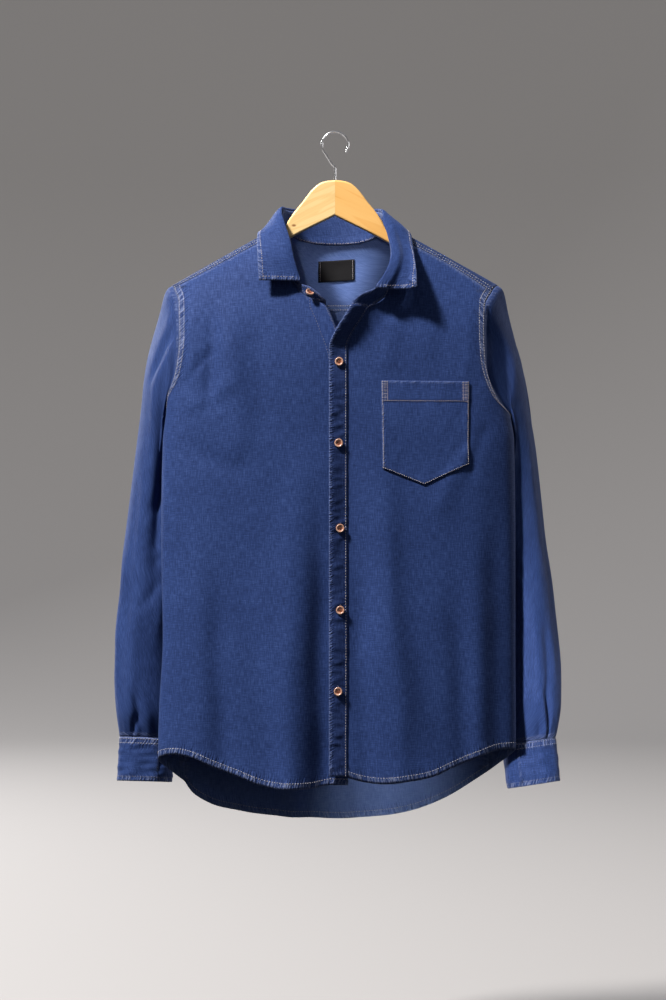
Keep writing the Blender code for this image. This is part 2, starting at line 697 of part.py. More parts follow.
def cuff_grid(side):
    """A strip round the wrist whose end laps on its start."""
    size = CUFF_RIGHT if side < 0 else CUFF_LEFT
    steps = 26
    lap_angle = 0.55
    start = math.radians(105)
    rows = []
    for share in np.linspace(0, 1, 5):
        top = np.array(size["top"], float)
        bottom = np.array(size["bottom"], float)
        top[[1, 3]] -= SEAM / 4
        x0, z0, x1, z1 = top + (bottom - top) * share
        middle = np.array([(x0 + x1) / 2, CUFF_Y, (z0 + z1) / 2])
        reach = np.array([x0 - x1, 0, z0 - z1]) / 2
        row = []
        for turn in np.linspace(0, 2 * math.pi + lap_angle, steps + 1):
            grown = 1 + 0.05 * ease(turn, 2 * math.pi - 0.5, 2 * math.pi)
            angle = start + turn
            row.append(middle + grown * (math.cos(angle) * reach
                                         + math.sin(angle) * np.array([0, -CUFF_DEPTH, 0])))
        rows.append(row)
    return np.array(rows)


def collar_lines(count):
    """Fold line and outer edge of the fall, count + 1 stations each."""
    rows = np.array(COLLAR, float)
    both = through(rows, count)
    return both[:, :3], both[:, 3:]


def neck_line():
    """The neck seam from the right front's edge round the back to the left's."""
    right = front_at(neck_front(-1))
    left = front_at(neck_front(1))
    left[:, 1] -= over_lift(left)
    back = over_shoulder(neck_back())
    return np.vstack([right[:-1], back, left[::-1][1:]])


def collar_frame(fold):
    """At each point of the fold line: towards the neck seam, and outward from the neck."""
    low = neck_line()
    along = np.gradient(fold, axis=0)
    along /= np.linalg.norm(along, axis=1)[:, None]
    nearest = low[np.argmin(np.linalg.norm(fold[:, None] - low[None], axis=2), axis=1)]
    down = nearest - fold
    down -= (down * along).sum(axis=1)[:, None] * along
    down = (down + np.roll(down, 1, axis=0) + np.roll(down, -1, axis=0)) / 3
    down[[0, -1]] = down[[1, -2]]
    down /= np.linalg.norm(down, axis=1)[:, None]
    out = np.cross(along, down)
    return down, out / np.linalg.norm(out, axis=1)[:, None]


def stand_grid():
    """The band that stands on the neck seam, rounded at its two front ends."""
    low = neck_line()
    fold, _ = collar_lines(COLLAR_STATIONS)
    top = fold + collar_frame(fold)[0] * (FALL_ROLL + 2 * SEAM)
    path = np.vstack([np.array(STAND_END_RIGHT, float)[::-1], top, np.array(STAND_END_LEFT, float)])
    path = through(path, 240)
    even = np.linspace(0, 1, len(low))
    nearest = np.argmin(np.linalg.norm(low[:, None] - path[None], axis=2), axis=1) / 240
    nearest = np.maximum.accumulate(nearest)
    share = 0.35 * even + 0.65 * nearest
    share[[0, -1]] = 0, 1
    for _ in range(3):
        share[1:-1] = (share[:-2] + share[1:-1] + share[2:]) / 3
    high = np.column_stack([np.interp(share * 240, np.arange(241), path[:, k]) for k in range(3)])
    rows = [low * (1 - level) + high * level for level in np.linspace(0, 1, 4)]
    grid = np.array(rows)
    rise = high - low
    grid[0] += rise / np.linalg.norm(rise, axis=1)[:, None] * STAND_GAP
    return grid


def make_collar_fall():
    """The fall: up from the stand, over the fold and down to its outer edge."""
    fold, edge = collar_lines(COLLAR_STATIONS)
    down, out = collar_frame(fold)
    fall = edge - fold
    rows = [fold + down * FALL_ROLL, fold + out * 0.4, fold + out * 3.4 + down]
    for share in (0.14, 0.34, 0.58, 0.8, 1.0):
        stand_off = 4.4 * (1 - share) + 4.0 * math.sin(math.pi * share)
        rows.append(fold + fall * share + out * stand_off)
    grid = np.array(rows)
    for row in range(3, len(grid)):
        grid[row] = clear_of_shoulders(grid[row], BAND + 1.0)
    return cloth("collar_fall", grid, DENIM, wall=BAND, turned=True)


def make_placket():
    """The band along the over front's free edge, on that front's own points."""
    grid = front_grid(1)[:, :COLUMNS_PLACKET + 1]
    grid = grid + outward(grid) * (LAY + BAND)
    return cloth("placket", drawn_in(grid), DENIM, wall=BAND)


def make_pocket():
    """The patch pocket: a five-sided piece with a deep hem across its top."""
    top_left, top_right, right, point, left = (np.array(p, float) for p in POCKET_OUTLINE)
    columns = 10
    u = np.linspace(0, 1, columns + 1)
    top = np.outer(1 - u, top_left) + np.outer(u, top_right)
    bottom = np.where(u[:, None] < 0.5, left + (point - left) * 2 * u[:, None],
                      point + (right - point) * (2 * u[:, None] - 1))
    rows = np.array([top + (bottom - top) * v for v in np.linspace(0, 1, 8)])
    grid = on(rows, front_at)
    grid[..., 1] -= over_lift(grid)
    return cloth("pocket", grid + outward(grid) * (LAY + CLOTH), DENIM)


def outward(grid):
    """Unit normals of a front grid, pointing forward."""
    normal = normals(grid)
    return normal * np.sign(-normal[..., 1:2])


def make_label():
    """The neck label, sewn to the inside of the yoke."""
    (cx, cz), (width, height) = LABEL_CENTRE, LABEL_SIZE
    x = np.linspace(cx - width / 2, cx + width / 2, 5)
    rows = []
    for z in np.linspace(cz + height / 2, cz - height / 2, 4):
        rows.append(over_shoulder(to_shoulder(x, np.full(5, z), np.full(5, 1))))
    grid = np.array(rows)
    inward = normals(grid)
    inward *= np.sign(-inward[..., 1:2])
    return cloth("neck_label", grid + inward * (CLOTH + 2 * LAY + LABEL), LABEL_CLOTH, wall=LABEL)


def make_button(name, centre, facing):
    """A four-hole shirt button: a turned disc with a raised rim."""
    radius = BUTTON_DIAMETER / 2
    profile = ((0.0, 0.0), (radius - 1.4, 0.0), (radius, 1.1), (radius - 0.5, BUTTON_THICKNESS - 0.4),
               (radius - 1.4, BUTTON_THICKNESS), (radius - 2.2, BUTTON_THICKNESS - 0.9),
               (0.0, BUTTON_THICKNESS - 1.1))
    mesh = bpy.data.meshes.new(name)
    mesh.from_pydata([(x * MM, 0.0, z * MM) for x, z in profile], [],
                     [(k, k + 1) for k in range(len(profile) - 1)])
    made = bpy.data.objects.new(name, mesh)
    SHIRT.objects.link(made)
    made.data.materials.append(HORN)
    turn = made.modifiers.new("turned", "SCREW")
    turn.steps = 16
    turn.render_steps = 16
    turn.use_merge_vertices = True
    turn.merge_threshold = 0.00005
    made.location = np.asarray(centre) * MM
    made.rotation_euler = direction(facing)
    return made


def direction(facing):
    """Euler angles that turn +Z to a direction."""
    return Vector(facing).to_track_quat("Z", "Y").to_euler()


def front_normal(x, z):
    """The outward normal of the front surface at x, z."""
    step = 3.0
    p = front_at([(x - step, z), (x + step, z), (x, z - step), (x, z + step)])
    normal = np.cross(p[1] - p[0], p[3] - p[2])
    normal /= np.linalg.norm(normal)
    return normal if normal[1] < 0 else -normal


def make_buttons():
    for number, (x, z) in enumerate(zip(BUTTON_X, BUTTON_Z), start=1):
        spot = front_at([(x, z)])[0]
        spot[1] -= over_lift(spot[None])[0] + 2 * LAY + BAND
        make_button(f"button_{number}", spot, front_normal(x, z))


def make_collar_button():
    """The top button, on the rounded right end of the stand."""
    grid = stand_grid()
    middle = grid[1:3, 2].mean(axis=0)
    facing = -normals(grid)[1, 2]
    make_button("button_collar", middle + facing * 2 * LAY, facing)


def make_hanger(side, name):
    """One half of the flat wooden hanger."""
    arm = tuple((x, float(ridge_z(x)) - HANGER_CLEAR) for x in HANGER_ARM)
    outline = [(side * max(x, SEAM / 2), z) for x, z in HANGER_TOP + arm + HANGER_BOTTOM]
    curve = bpy.data.curves.new(name, "CURVE")
    curve.dimensions = "2D"
    curve.fill_mode = "BOTH"
    curve.extrude = HANGER_THICKNESS / 2 * MM
    spline = curve.splines.new("POLY")
    spline.points.add(len(outline) - 1)
    for point, (x, z) in zip(spline.points, outline):
        point.co = (x * MM, z * MM, 0, 1)
    spline.use_cyclic_u = True
    flat = bpy.data.objects.new(name + "_outline", curve)
    SHIRT.objects.link(flat)
    flat.rotation_euler = (math.pi / 2, 0, 0)
    bpy.context.view_layer.update()
    solid = mesh_from(flat, name, WOOD)
    rounded = solid.modifiers.new("rounded", "BEVEL")
    rounded.width = HANGER_EDGE * MM
    rounded.segments = 2
    rounded.limit_method = "ANGLE"
    rounded.angle_limit = math.radians(60)
    bore = solid.modifiers.new("bore", "BOOLEAN")
    bore.object = BORE
    bore.operation = "DIFFERENCE"
    return solid


def mesh_from(curve_object, name, finish):
    """A mesh object made from a curve object, which is removed."""
    evaluated = curve_object.evaluated_get(bpy.context.evaluated_depsgraph_get())
    mesh = bpy.data.meshes.new_from_object(evaluated)
    edit = bmesh.new()
    edit.from_mesh(mesh)
    bmesh.ops.remove_doubles(edit, verts=edit.verts, dist=0.00001)
    edit.to_mesh(mesh)
    edit.free()
    mesh.name = name
    mesh.materials.clear()
    mesh.materials.append(finish)
    matrix = curve_object.matrix_world.copy()
    bpy.data.objects.remove(curve_object)
    made = bpy.data.objects.new(name, mesh)
    made.matrix_world = matrix
    SHIRT.objects.link(made)
    return made


def make_bore():
    """The cutter for the hook's hole down into the wood."""
    bpy.ops.mesh.primitive_cylinder_add(vertices=16, radius=(HOOK_WIRE / 2 + LAY) * MM,
                                        depth=60 * MM, location=(0, 0, (HOOK_SHANK_FOOT + 28) * MM))
    cutter = bpy.context.object
    cutter.name = "hook_bore"
    for home in list(cutter.users_collection):
        home.objects.unlink(cutter)
    GUIDES.objects.link(cutter)
    cutter.hide_render = True
    cutter.display_type = "WIRE"
    return cutter


def make_hook():
    """The hook: a straight shank that swings out and round to its open end."""
    radius = HOOK_RADIUS
    middle = HOOK_WIRE / 2 - radius
    path = [(0, HOOK_SHANK_FOOT), (0, HOOK_SHANK_TOP - 8), (0, HOOK_SHANK_TOP), (-4.5, HOOK_SHANK_TOP + 6)]
    for angle in np.linspace(222, -35, 18):
        turn = math.radians(angle)
        path.append((radius * math.cos(turn), middle + radius * math.sin(turn)))
    curve = bpy.data.curves.new("hook", "CURVE")
    curve.dimensions = "3D"
    curve.bevel_depth = HOOK_WIRE / 2 * MM
    curve.bevel_resolution = 2
    curve.use_fill_caps = True
    spline = curve.splines.new("POLY")
    spline.points.add(len(path) - 1)
    for point, (x, z) in zip(spline.points, path):
        point.co = (x * MM, 0, z * MM, 1)
    made = bpy.data.objects.new("hook", curve)
    made.data.materials.append(STEEL)
    SHIRT.objects.link(made)
    return made


# ---- the scene ---------------------------------------------------------------------
for old in list(bpy.data.objects):
    bpy.data.objects.remove(old)
SHIRT = bpy.data.collections.new("denim_shirt")
GUIDES = bpy.data.collections.new("guides")
bpy.context.scene.collection.children.link(SHIRT)
bpy.context.scene.collection.children.link(GUIDES)

DENIM = material("denim", (0.035, 0.075, 0.24), 0.85)
LABEL_CLOTH = material("label_cloth", (0.012, 0.011, 0.012), 0.7)
HORN = material("horn", (0.55, 0.33, 0.18), 0.35)
WOOD = material("pine", (0.80, 0.52, 0.24), 0.45)
STEEL = material("steel", (0.62, 0.62, 0.64), 0.25, 1.0)

BORE = make_bore()
make_front(-1, "front_right")
make_front(1, "front_left")
cloth("back", drawn_in(back_grid()), DENIM, turned=True)
cloth("yoke", drawn_in(yoke_grid(), gap=2 * SEAM), DENIM)
make_sleeve(-1, "sleeve_right")
make_sleeve(1, "sleeve_left")
cloth("cuff_right", cuff_grid(-1), DENIM, wall=BAND)
cloth("cuff_left", cuff_grid(1), DENIM, wall=BAND, turned=True)
cloth("collar_stand", stand_grid(), DENIM, wall=BAND)
make_collar_fall()
make_placket()
make_pocket()
make_label()
make_buttons()
make_collar_button()
make_hanger(-1, "hanger_right")
make_hanger(1, "hanger_left")
make_hook()
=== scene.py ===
"""A denim shirt on a flat wooden hanger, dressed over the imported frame.

Sizes are in millimetres until a mesh is made. Side -1 is the wearer's right, which is the
photo's left, and side 1 the wearer's left. Face -1 is the shirt's front and face 1 its back.
"""

import math

import bmesh
import bpy
import numpy as np
from mathutils import Matrix, Vector


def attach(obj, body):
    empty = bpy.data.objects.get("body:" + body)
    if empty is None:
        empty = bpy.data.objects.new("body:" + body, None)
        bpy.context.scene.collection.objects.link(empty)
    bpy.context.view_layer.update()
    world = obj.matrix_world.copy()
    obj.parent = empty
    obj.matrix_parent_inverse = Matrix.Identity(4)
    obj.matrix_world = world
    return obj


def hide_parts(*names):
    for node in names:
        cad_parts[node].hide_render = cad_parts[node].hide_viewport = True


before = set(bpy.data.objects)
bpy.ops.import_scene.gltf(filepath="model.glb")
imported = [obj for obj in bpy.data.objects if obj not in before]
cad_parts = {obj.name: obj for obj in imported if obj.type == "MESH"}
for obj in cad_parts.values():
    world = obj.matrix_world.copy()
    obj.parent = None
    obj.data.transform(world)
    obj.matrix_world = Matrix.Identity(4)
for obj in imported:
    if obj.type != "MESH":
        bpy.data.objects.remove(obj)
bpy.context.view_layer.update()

MM = 0.001
CLOTH = 1.2             # one wall of shirt cloth
BAND = 1.4              # placket, cuffs and collar
SEAM = 0.5              # gap between two pieces that are sewn edge to edge
LAY = 0.4               # gap between a piece and the panel that it lies on
LAP = CLOTH + LAY       # the over front stands out by one layer where it laps

# ---- sizes of the body --------------------------------------------------------------
RIDGE_TOP = -75.0       # shoulder line: z = RIDGE_TOP - RIDGE_SLOPE * hypot(x, RIDGE_ROUND)
RIDGE_SLOPE = 0.58
RIDGE_ROUND = 40.0
POWER = {-1: 2.8, 1: 1.7}       # roundness of a body section on each face
FLATNESS = {-1: 0.22, 1: 0.4}
SPREAD = {-1: 60.0, 1: 45.0}    # drop below the shoulder line over which each face fills out
SIDE_SEAM = 1.2         # place round the section: 0 front centre, 1 side, 2 back centre
PLACKET_WIDTH = 24.0
YOKE_BACK_Z = -231.0    # seam between yoke and back
TIP_X = 217.0           # where the shoulder line meets the armholes
PROFILE_STEPS = 1200

BODY_COLUMNS = ("z", "right", "left", "side_y", "front", "back")
BODY = (
    (-60, 228, 230, 2, 52, 84),
    (-140, 228, 230, 2, 54, 84),
    (-200, 226, 229, 0, 60, 80),
    (-260, 224, 228, -9, 58, 82),
    (-360, 222, 229, -20, 49, 92),
    (-410, 227, 236, -22, 47, 94),
    (-540, 229, 237.5, -24, 46, 92),
    (-670, 227, 237.5, -24, 46, 88),
    (-765, 232, 238, -23, 45, 84),
    (-830, 233.5, 238.5, -22, 44, 80),
    (-925, 234, 239, -22, 44, 78),
)
NECK = {
    -1: ((-37, -222), (-50, -208), (-62, -186), (-69, -158), (-70, -130)),
    1: ((46, -236), (63, -224), (74, -198), (77, -166), (75, -137.5)),
}
YOKE_FRONT = {
    -1: ((-70, -130), (-100, -147), (-150, -174), (-214, -207)),
    1: ((75, -137.5), (105, -152), (150, -176), (207, -213)),
}
ARMHOLE = {
    -1: ((-214, -207), (-207, -226), (-205, -268), (-207, -303), (-215, -337), (-222, -361)),
    1: ((207, -213), (198, -230), (196, -268), (197, -303), (204, -336), (216, -360)),
}
NECK_BACK = (           # x, z and face, where face 0 lies on the shoulder line itself
    (-70, -130, -1), (-70, 0, 0), (-64, -127, 1), (-52, -135, 1), (-30, -140, 1), (0, -141.5, 1),
    (30, -140, 1), (52, -135, 1), (65, -127, 1), (74, 0, 0), (75, -137.5, -1),
)
ARMHOLE_UNDERARM = (SIDE_SEAM, -398)    # place round the section, and z
ARMHOLE_BELOW = (1.08, -388)
ARMHOLE_BACK = ((1.3, -370), (1.36, -320), (1.33, -270), (1.29, YOKE_BACK_Z))
HEM = {
    -1: ((-11, -859), (-36, -863), (-66, -863), (-96, -859), (-126, -848), (-156, -837),
         (-186, -824), (-209, -820), (-233, -827)),
    1: ((-8, -847), (13, -848), (28, -853), (60, -857), (92, -854), (125, -848),
        (157, -835), (190, -822), (224, -814), (237, -814)),
}
HEM_BACK = ((-192, -876), (-168, -893), (-131, -905), (-69, -914), (0, -918),
            (74, -911), (115, -902), (146, -888), (167, -875), (193, -857))
HEM_SIDE = {-1: -862, 1: -848}
EDGE_PATH = {           # z and x of each front's free edge
    -1: ((-231, -12), (-257, -1), (-268, 3), (-300, 14), (-340, 17), (-870, 17)),
    1: ((-234, 21), (-252, 10), (-268, 0), (-290, -8), (-870, -8)),
}
EDGE_TOP = {-1: -231, 1: -234}

# soft folds: a line from x0, z0 to x1, z1 with a bow to its side, half width, height and
# how much steeper one flank is than the other
FOLDS = (
    # front, wearer's right
    (-1, -190, -215, -184, -345, 4, 8, 4.2, 0.3),
    (-1, -171, -215, -163, -385, -6, 10, -5.0, 0.2),
    (-1, -148, -210, -128, -470, -10, 18, 3.6, -0.2),
    (-1, -206, -352, -150, -290, -5, 7, -2.0, 0.3),
    (-1, -214, -372, -118, -318, 8, 11, 1.9, 0.2),
    (-1, -212, -402, -104, -452, 6, 15, -2.2, 0.0),
    (-1, -96, -225, -84, -420, 8, 17, -1.8, 0.0),
    (-1, -110, -545, -66, -880, -12, 24, 6.5, 0.35),
    (-1, -60, -470, -62, -880, -8, 24, 8.0, 0.2),
    (-1, 14, -330, 15, -880, 0, 21, -7.0, 0.1),
    (-1, -18, -430, -14, -880, 0, 17, -8.0, 0.1),
    (-1, -152, -560, -136, -870, 9, 16, -4.6, 0.2),
    (-1, -188, -450, -180, -840, -7, 18, 3.6, 0.1),
    (-1, -217, -520, -211, -800, 3, 8, -2.2, 0.0),
    (-1, -30, -400, -72, -640, 10, 22, 1.8, 0.0),
    # front, wearer's left
    (-1, 176, -225, 168, -345, -4, 10, 1.6, 0.2),
    (-1, 152, -225, 140, -330, 5, 13, -1.6, 0.0),
    (-1, 216, -400, 222, -870, 3, 30, -11.0, 0.2),
    (-1, 62, -330, 90, -870, 6, 20, 5.4, -0.2),
    (-1, 196, -398, 132, -520, 8, 13, 2.2, 0.3),
    (-1, 205, -375, 176, -470, 4, 7, -2.0, 0.2),
    (-1, 70, -560, 132, -870, 12, 24, 4.2, -0.3),
    (-1, 34, -480, 40, -870, 4, 14, -4.6, 0.2),
    (-1, 150, -560, 168, -850, -6, 16, -4.4, 0.2),
    (-1, 188, -500, 192, -830, 0, 15, 4.0, 0.0),
    (-1, 84, -240, 60, -330, 5, 14, 1.6, 0.0),
    # back
    (1, -70, -240, -58, -900, 8, 19, -10.0, 0.2),
    (1, -20, -250, -26, -900, -6, 20, 6.5, -0.2),
    (1, 62, -240, 74, -900, -9, 20, -9.0, 0.2),
    (1, 128, -320, 120, -870, 6, 17, 5.0, 0.2),
    (1, -130, -300, -128, -880, -8, 17, 5.0, -0.3),
    (1, 22, -270, 30, -900, 5, 14, 3.4, 0.2),
    (1, -170, -330, -166, -850, 6, 12, -3.0, 0.0),
    (1, 168, -350, 160, -820, -5, 12, -3.4, 0.0),
    (1, -178, -262, -96, -330, 8, 13, 3.0, 0.3),
    (1, 172, -262, 100, -345, -9, 12, 2.6, -0.2),
    (1, -98, -420, -40, -560, 10, 18, 2.4, 0.2),
    (1, 104, -520, 52, -700, -10, 18, 2.4, 0.2),
)
HEM_FOLD_Z = -800       # a fold that ends below this runs out through the hem

# ---- sizes of sleeves, cuffs and collar ------------------------------------------------
SLEEVE = {              # outer x and z, inner x and z, y of the middle, depth
    -1: (
        (-219, -205, -203, -398, 6, 44), (-236, -240, -203, -408, 14, 50),
        (-253, -299, -202, -425, 28, 54), (-262, -380, -201, -455, 42, 56),
        (-272, -450, -201, -500, 49, 55), (-285, -552, -203, -575, 51, 52),
        (-290, -613, -206, -622, 50, 49), (-296.5, -676, -211, -680, 49, 47),
        (-297, -717, -214, -719, 48, 46), (-294, -769, -215, -771, 46, 42),
        (-290, -806, -219, -809, 45, 30.5),
    ),
    1: (
        (219, -206, 206, -398, 6, 44), (236, -250, 207, -410, 14, 50),
        (250, -299, 208, -427, 28, 54), (264, -380, 209, -457, 42, 56),
        (274, -451, 210, -500, 49, 55), (286, -550, 213, -573, 51, 52),
        (293, -600, 217, -622, 50, 49), (302, -676, 222, -690, 49, 47),
        (305, -721, 225, -731, 48, 46), (304, -761, 226, -776, 46, 42),
        (297, -807, 225, -818, 45, 30.5),
    ),
}
SLEEVE_CLEAR = 5.0      # between a hanging sleeve and the body
SLEEVE_ARC = math.radians(1) * 47.0     # cloth for each degree round a sleeve
# sleeve creases: angle round the sleeve in degrees (0 outer, 90 front, 180 inner, 270 back)
# and z at both ends, half width, height, lean
SLEEVE_FOLDS = {
    -1: (
        (44, -205, 50, -345, 6, -4.6, 0.2), (110, -350, 96, -620, 12, -8.0, 0.3),
        (60, -260, 84, -520, 9, 2.6, 0.2), (100, -330, 96, -560, 8, -2.6, 0.0),
        (128, -400, 112, -700, 8, 2.6, 0.2), (40, -420, 56, -700, 10, -2.2, 0.0),
        (20, -520, 30, -780, 9, 2.4, 0.2), (140, -430, 70, -520, 9, -2.6, 0.3),
        (150, -500, 88, -575, 7, 2.2, 0.3), (140, -560, 76, -640, 8, -2.0, 0.2),
        (68, -600, 70, -790, 10, 2.4, 0.2),
        (250, -300, 270, -620, 11, 3.0, 0.2), (290, -380, 300, -700, 10, -3.0, 0.0),
        (225, -450, 235, -740, 10, -3.0, 0.2), (320, -300, 330, -560, 11, 2.6, 0.0),
        (215, -520, 290, -600, 9, 2.4, 0.3), (260, -620, 262, -790, 9, 3.0, 0.2),
    ),
    1: (
        (70, -300, 88, -600, 9, -2.6, 0.2), (104, -360, 100, -620, 9, 2.6, 0.2),
        (46, -330, 60, -640, 10, 2.6, 0.0), (130, -420, 118, -720, 8, -2.4, 0.2),
        (25, -460, 34, -760, 9, -2.2, 0.2), (148, -440, 84, -500, 8, 2.4, 0.3),
        (140, -540, 80, -600, 8, -2.2, 0.3), (80, -620, 84, -790, 10, 3.0, 0.2),
        (58, -640, 66, -800, 7, -3.2, 0.2), (110, -660, 104, -790, 8, 2.4, 0.2),
        (250, -330, 262, -640, 11, -3.0, 0.2), (285, -340, 300, -690, 10, 3.0, 0.0),
        (228, -430, 238, -760, 10, 3.0, 0.2), (322, -320, 330, -600, 11, -2.6, 0.0),
        (218, -540, 292, -620, 9, 2.4, 0.3), (262, -640, 264, -790, 9, -3.0, 0.2),
    ),
}
# pleats into the cuffs: angle at the cuff, angle at the top, length, depth
PLEATS = {-1: ((90, 72, 84, 6.0), (72, 80, 44, 5.0)), 1: ((55, 74, 88, 5.6), (78, 84, 40, 2.6))}
CUFF_SEAM_Z = -808.0
CUFF = {                # outer x and z, inner x and z at the top and at the bottom
    -1: ((-290, -806, -219, -809), (-293.5, -865, -219, -867)),
    1: ((297, -807, 225, -818), (303.5, -865, 232, -876)),
}
CUFF_Y = 45.0
CUFF_DEPTH = 31.0
CUFF_RISE = 3.4         # how much higher the cuff and its seam are at the front
CUFF_START = math.radians(82)
CUFF_LAP = 0.55         # radians by which the cuff laps over itself

COLLAR = (              # x, y and z of the fold, then of the outer edge
    (-43.5, -60, -202.5, -99, -62, -202),
    (-52.5, -53, -172.5, -101, -54, -170),
    (-58, -40, -146.5, -103, -30, -144),
    (-66, -18, -120.5, -102, -6, -133),
    (-71, 6, -101, -96, 20, -134),
    (-68, 32, -94, -84, 48, -142),
    (-50, 58, -94, -60, 72, -149),
    (-26, 70, -95, -32, 84, -154),
    (0, 73, -96, 0, 87, -156),
    (26, 70, -95, 32, 84, -156),
    (47, 58, -94, 60, 72, -153),
    (60, 32, -97, 82, 48, -146),
    (62, 6, -105, 94, 20, -135),
    (62, -15, -117, 100, -6, -134),
    (69, -40, -142, 103, -38, -160),
    (72.5, -55, -163, 105, -60, -186),
    (66, -65, -189, 105.5, -67, -200),
    (51, -68, -212, 106, -70, -212),
)
COLLAR_FORWARD = (16.5, 7.0)    # how far fold and edge come forward on the wearer's left
# the fall's lower rows: share of the way down, how far each side comes forward
FALL_ROWS = ((0.14, -2.5, 0.0), (0.34, -8.0, 0.5), (0.58, -7.0, 2.0), (0.8, -2.0, 3.5), (1.0, 3.0, 5.0))
FALL_ROLL = 5.0         # height of the fold above the stand's top edge
FALL_CLEAR = 1.0        # between the fall and the shoulders
STAND_GAP = 1.0         # along the stand, between its lower edge and the neck seam
STAND_END = {
    -1: ((-32, -66, -211), (-19, -69, -222), (-12.5, -67, -229)),
    1: ((41, -78, -217.5), (30, -81, -224), (23, -82, -230)),
}
# the stand's three lowest rows: how far they go inward and down at the back, to lie inside
# the yoke, and the share by which they lap in front of the wearer's left front
STAND_LOW = ((2.0, 2.2, 1.0), (1.6, 0.8, 0.6), (0.8, 0.0, 0.2))

BUTTON_DIAMETER = 11.5
BUTTON_THICKNESS = 3.0
BUTTON_X = (5.2, 4.7, 6.5, 6.8, 3.9)
BUTTON_Z = (-308, -413.5, -524, -630.5, -736)
POCKET_OUTLINE = ((59.8, -332.5), (174.5, -333), (174, -441), (116, -468), (61.6, -446.5))
POCKET_HEM = 26.0
POCKET_DEPTH = 112.0
LABEL_SIZE = (50.0, 29.0)
LABEL_CENTRE = (2.0, -177.5)

HANGER_TOP = ((0, -63), (12, -64.3), (21, -67.5), (29, -74), (37, -83.5), (44, -93), (51.5, -102),
              (57.5, -110), (63, -118.5), (67, -126.5), (73, -131.5))
HANGER_ARM = (92, 115, 140, 165, 183, 196)      # x of the arm's top points, close under the yoke
HANGER_CLEAR = 3.3
HANGER_BOTTOM = ((201, -206), (196, -212), (180, -210), (140, -190), (100, -165), (72, -147), (0, -110))
HANGER_THICKNESS = 11.0
HANGER_EDGE = 2.4
HANGER_JOINT = 0.04     # from the centre to each half's glued face
HOOK_WIRE = 3.0
HOOK_RADIUS = 17.5
HOOK_SHANK_TOP = -47.0
HOOK_SHANK_FOOT = -85.0

# rows of stitches, as distances from a piece's edge
HEM_STITCH = 8.0
ARMHOLE_STITCHES = (2.2, 9.0)
YOKE_STITCHES = (1.8, 7.6)      # the cuffs' tops are sewn the same way
SLEEVE_STITCHES = (2.0, 7.6)

# how fine the grids are
ROWS_ARMHOLE_FRONT = 52
ROWS_ARMHOLE_BACK = 44
ROWS_ARMHOLE_YOKE = 34
ROWS_BODY = 128
COLUMNS_PLACKET = 8
COLUMNS_NECK = 30
COLUMNS_SHOULDER = 42
COLUMNS_NECK_BACK = 66
SLEEVE_RINGS = 150
COLLAR_STATIONS = 34


# ---- curves -----------------------------------------------------------------------
def run_down(points):
    """Distance run from the first point of a line, or from the first row in each column of a grid."""
    steps = np.linalg.norm(np.diff(points, axis=0), axis=-1)
    return np.concatenate([np.zeros_like(steps[:1]), np.cumsum(steps, axis=0)])


def at_runs(wanted, run, line):
    return np.column_stack([np.interp(wanted, run, line[:, k]) for k in range(line.shape[1])])


def unit(vectors):
    return vectors / np.maximum(np.linalg.norm(vectors, axis=-1, keepdims=True), 1e-9)


def ease(x, start, end):
    u = np.clip((np.asarray(x, float) - start) / (end - start), 0, 1)
    return u * u * (3 - 2 * u)


def slopes(xs, ys):
    """Tangents for a curve through points that never swings past them."""
    steps = np.diff(ys, axis=0) / np.diff(xs)[:, None]
    before = np.diff(xs)[:-1, None]
    after = np.diff(xs)[1:, None]
    mean = (steps[:-1] * after + steps[1:] * before) / (before + after)
    limit = 2 * np.minimum(np.abs(steps[:-1]), np.abs(steps[1:]))
    middle = np.where(steps[:-1] * steps[1:] > 0, np.clip(mean, -limit, limit), 0)
    return np.concatenate([steps[:1], middle, steps[-1:]])


def smooth(xs, ys, x):
    """A smooth curve through xs, ys, read at x."""
    xs, ys = np.asarray(xs, float), np.asarray(ys, float)
    flat = ys.ndim == 1
    ys = ys[:, None] if flat else ys
    x = np.clip(np.atleast_1d(np.asarray(x, float)), xs[0], xs[-1])
    row = np.clip(np.searchsorted(xs, x, side="right") - 1, 0, len(xs) - 2)
    span = (xs[row + 1] - xs[row])[..., None]
    u = (x - xs[row])[..., None] / span
    tangents = slopes(xs, ys)
    value = (
        ys[row] * (2 * u**3 - 3 * u**2 + 1)
        + tangents[row] * span * (u**3 - 2 * u**2 + u)
        + ys[row + 1] * (3 * u**2 - 2 * u**3)
        + tangents[row + 1] * span * (u**3 - u**2)
    )
    return value[..., 0] if flat else value


def through(points, count, place=None):
    """A smooth line through points, cut into equal steps, measured in space if place is given."""
    points = np.asarray(points, float)
    chord = run_down(place(points) if place else points)
    dense = smooth(chord, points, np.linspace(0, chord[-1], 1500))
    run = run_down(place(dense) if place else dense)
    return at_runs(np.linspace(0, run[-1], count + 1), run, dense)


def waver(p, q, seed, scale):
    """A smooth uneven field over p, q in millimetres, about -1 to 1."""
    rng = np.random.default_rng(seed)
    total = np.zeros_like(np.asarray(p, float))
    weight = 0.0
    for _ in range(9):
        angle = rng.uniform(0, math.pi)
        length = scale * rng.uniform(0.5, 1.6)
        size = rng.uniform(0.5, 1.0)
        total = total + size * np.sin((p * math.cos(angle) + q * math.sin(angle)) * 2 * math.pi / length
                                      + rng.uniform(0, 6.28))
        weight += size
    return total / weight * 2.0


def ridge_profile(off, width, lean):
    """A fold's height across itself: one flank steeper than the other."""
    reach = width * np.where(off > 0, 1 - 0.6 * lean, 1 + 0.6 * lean)
    return np.exp(-((off / reach) ** 2))


# ---- the body surface ---------------------------------------------------------------
RUN, WIDE, DEEP = range(3)


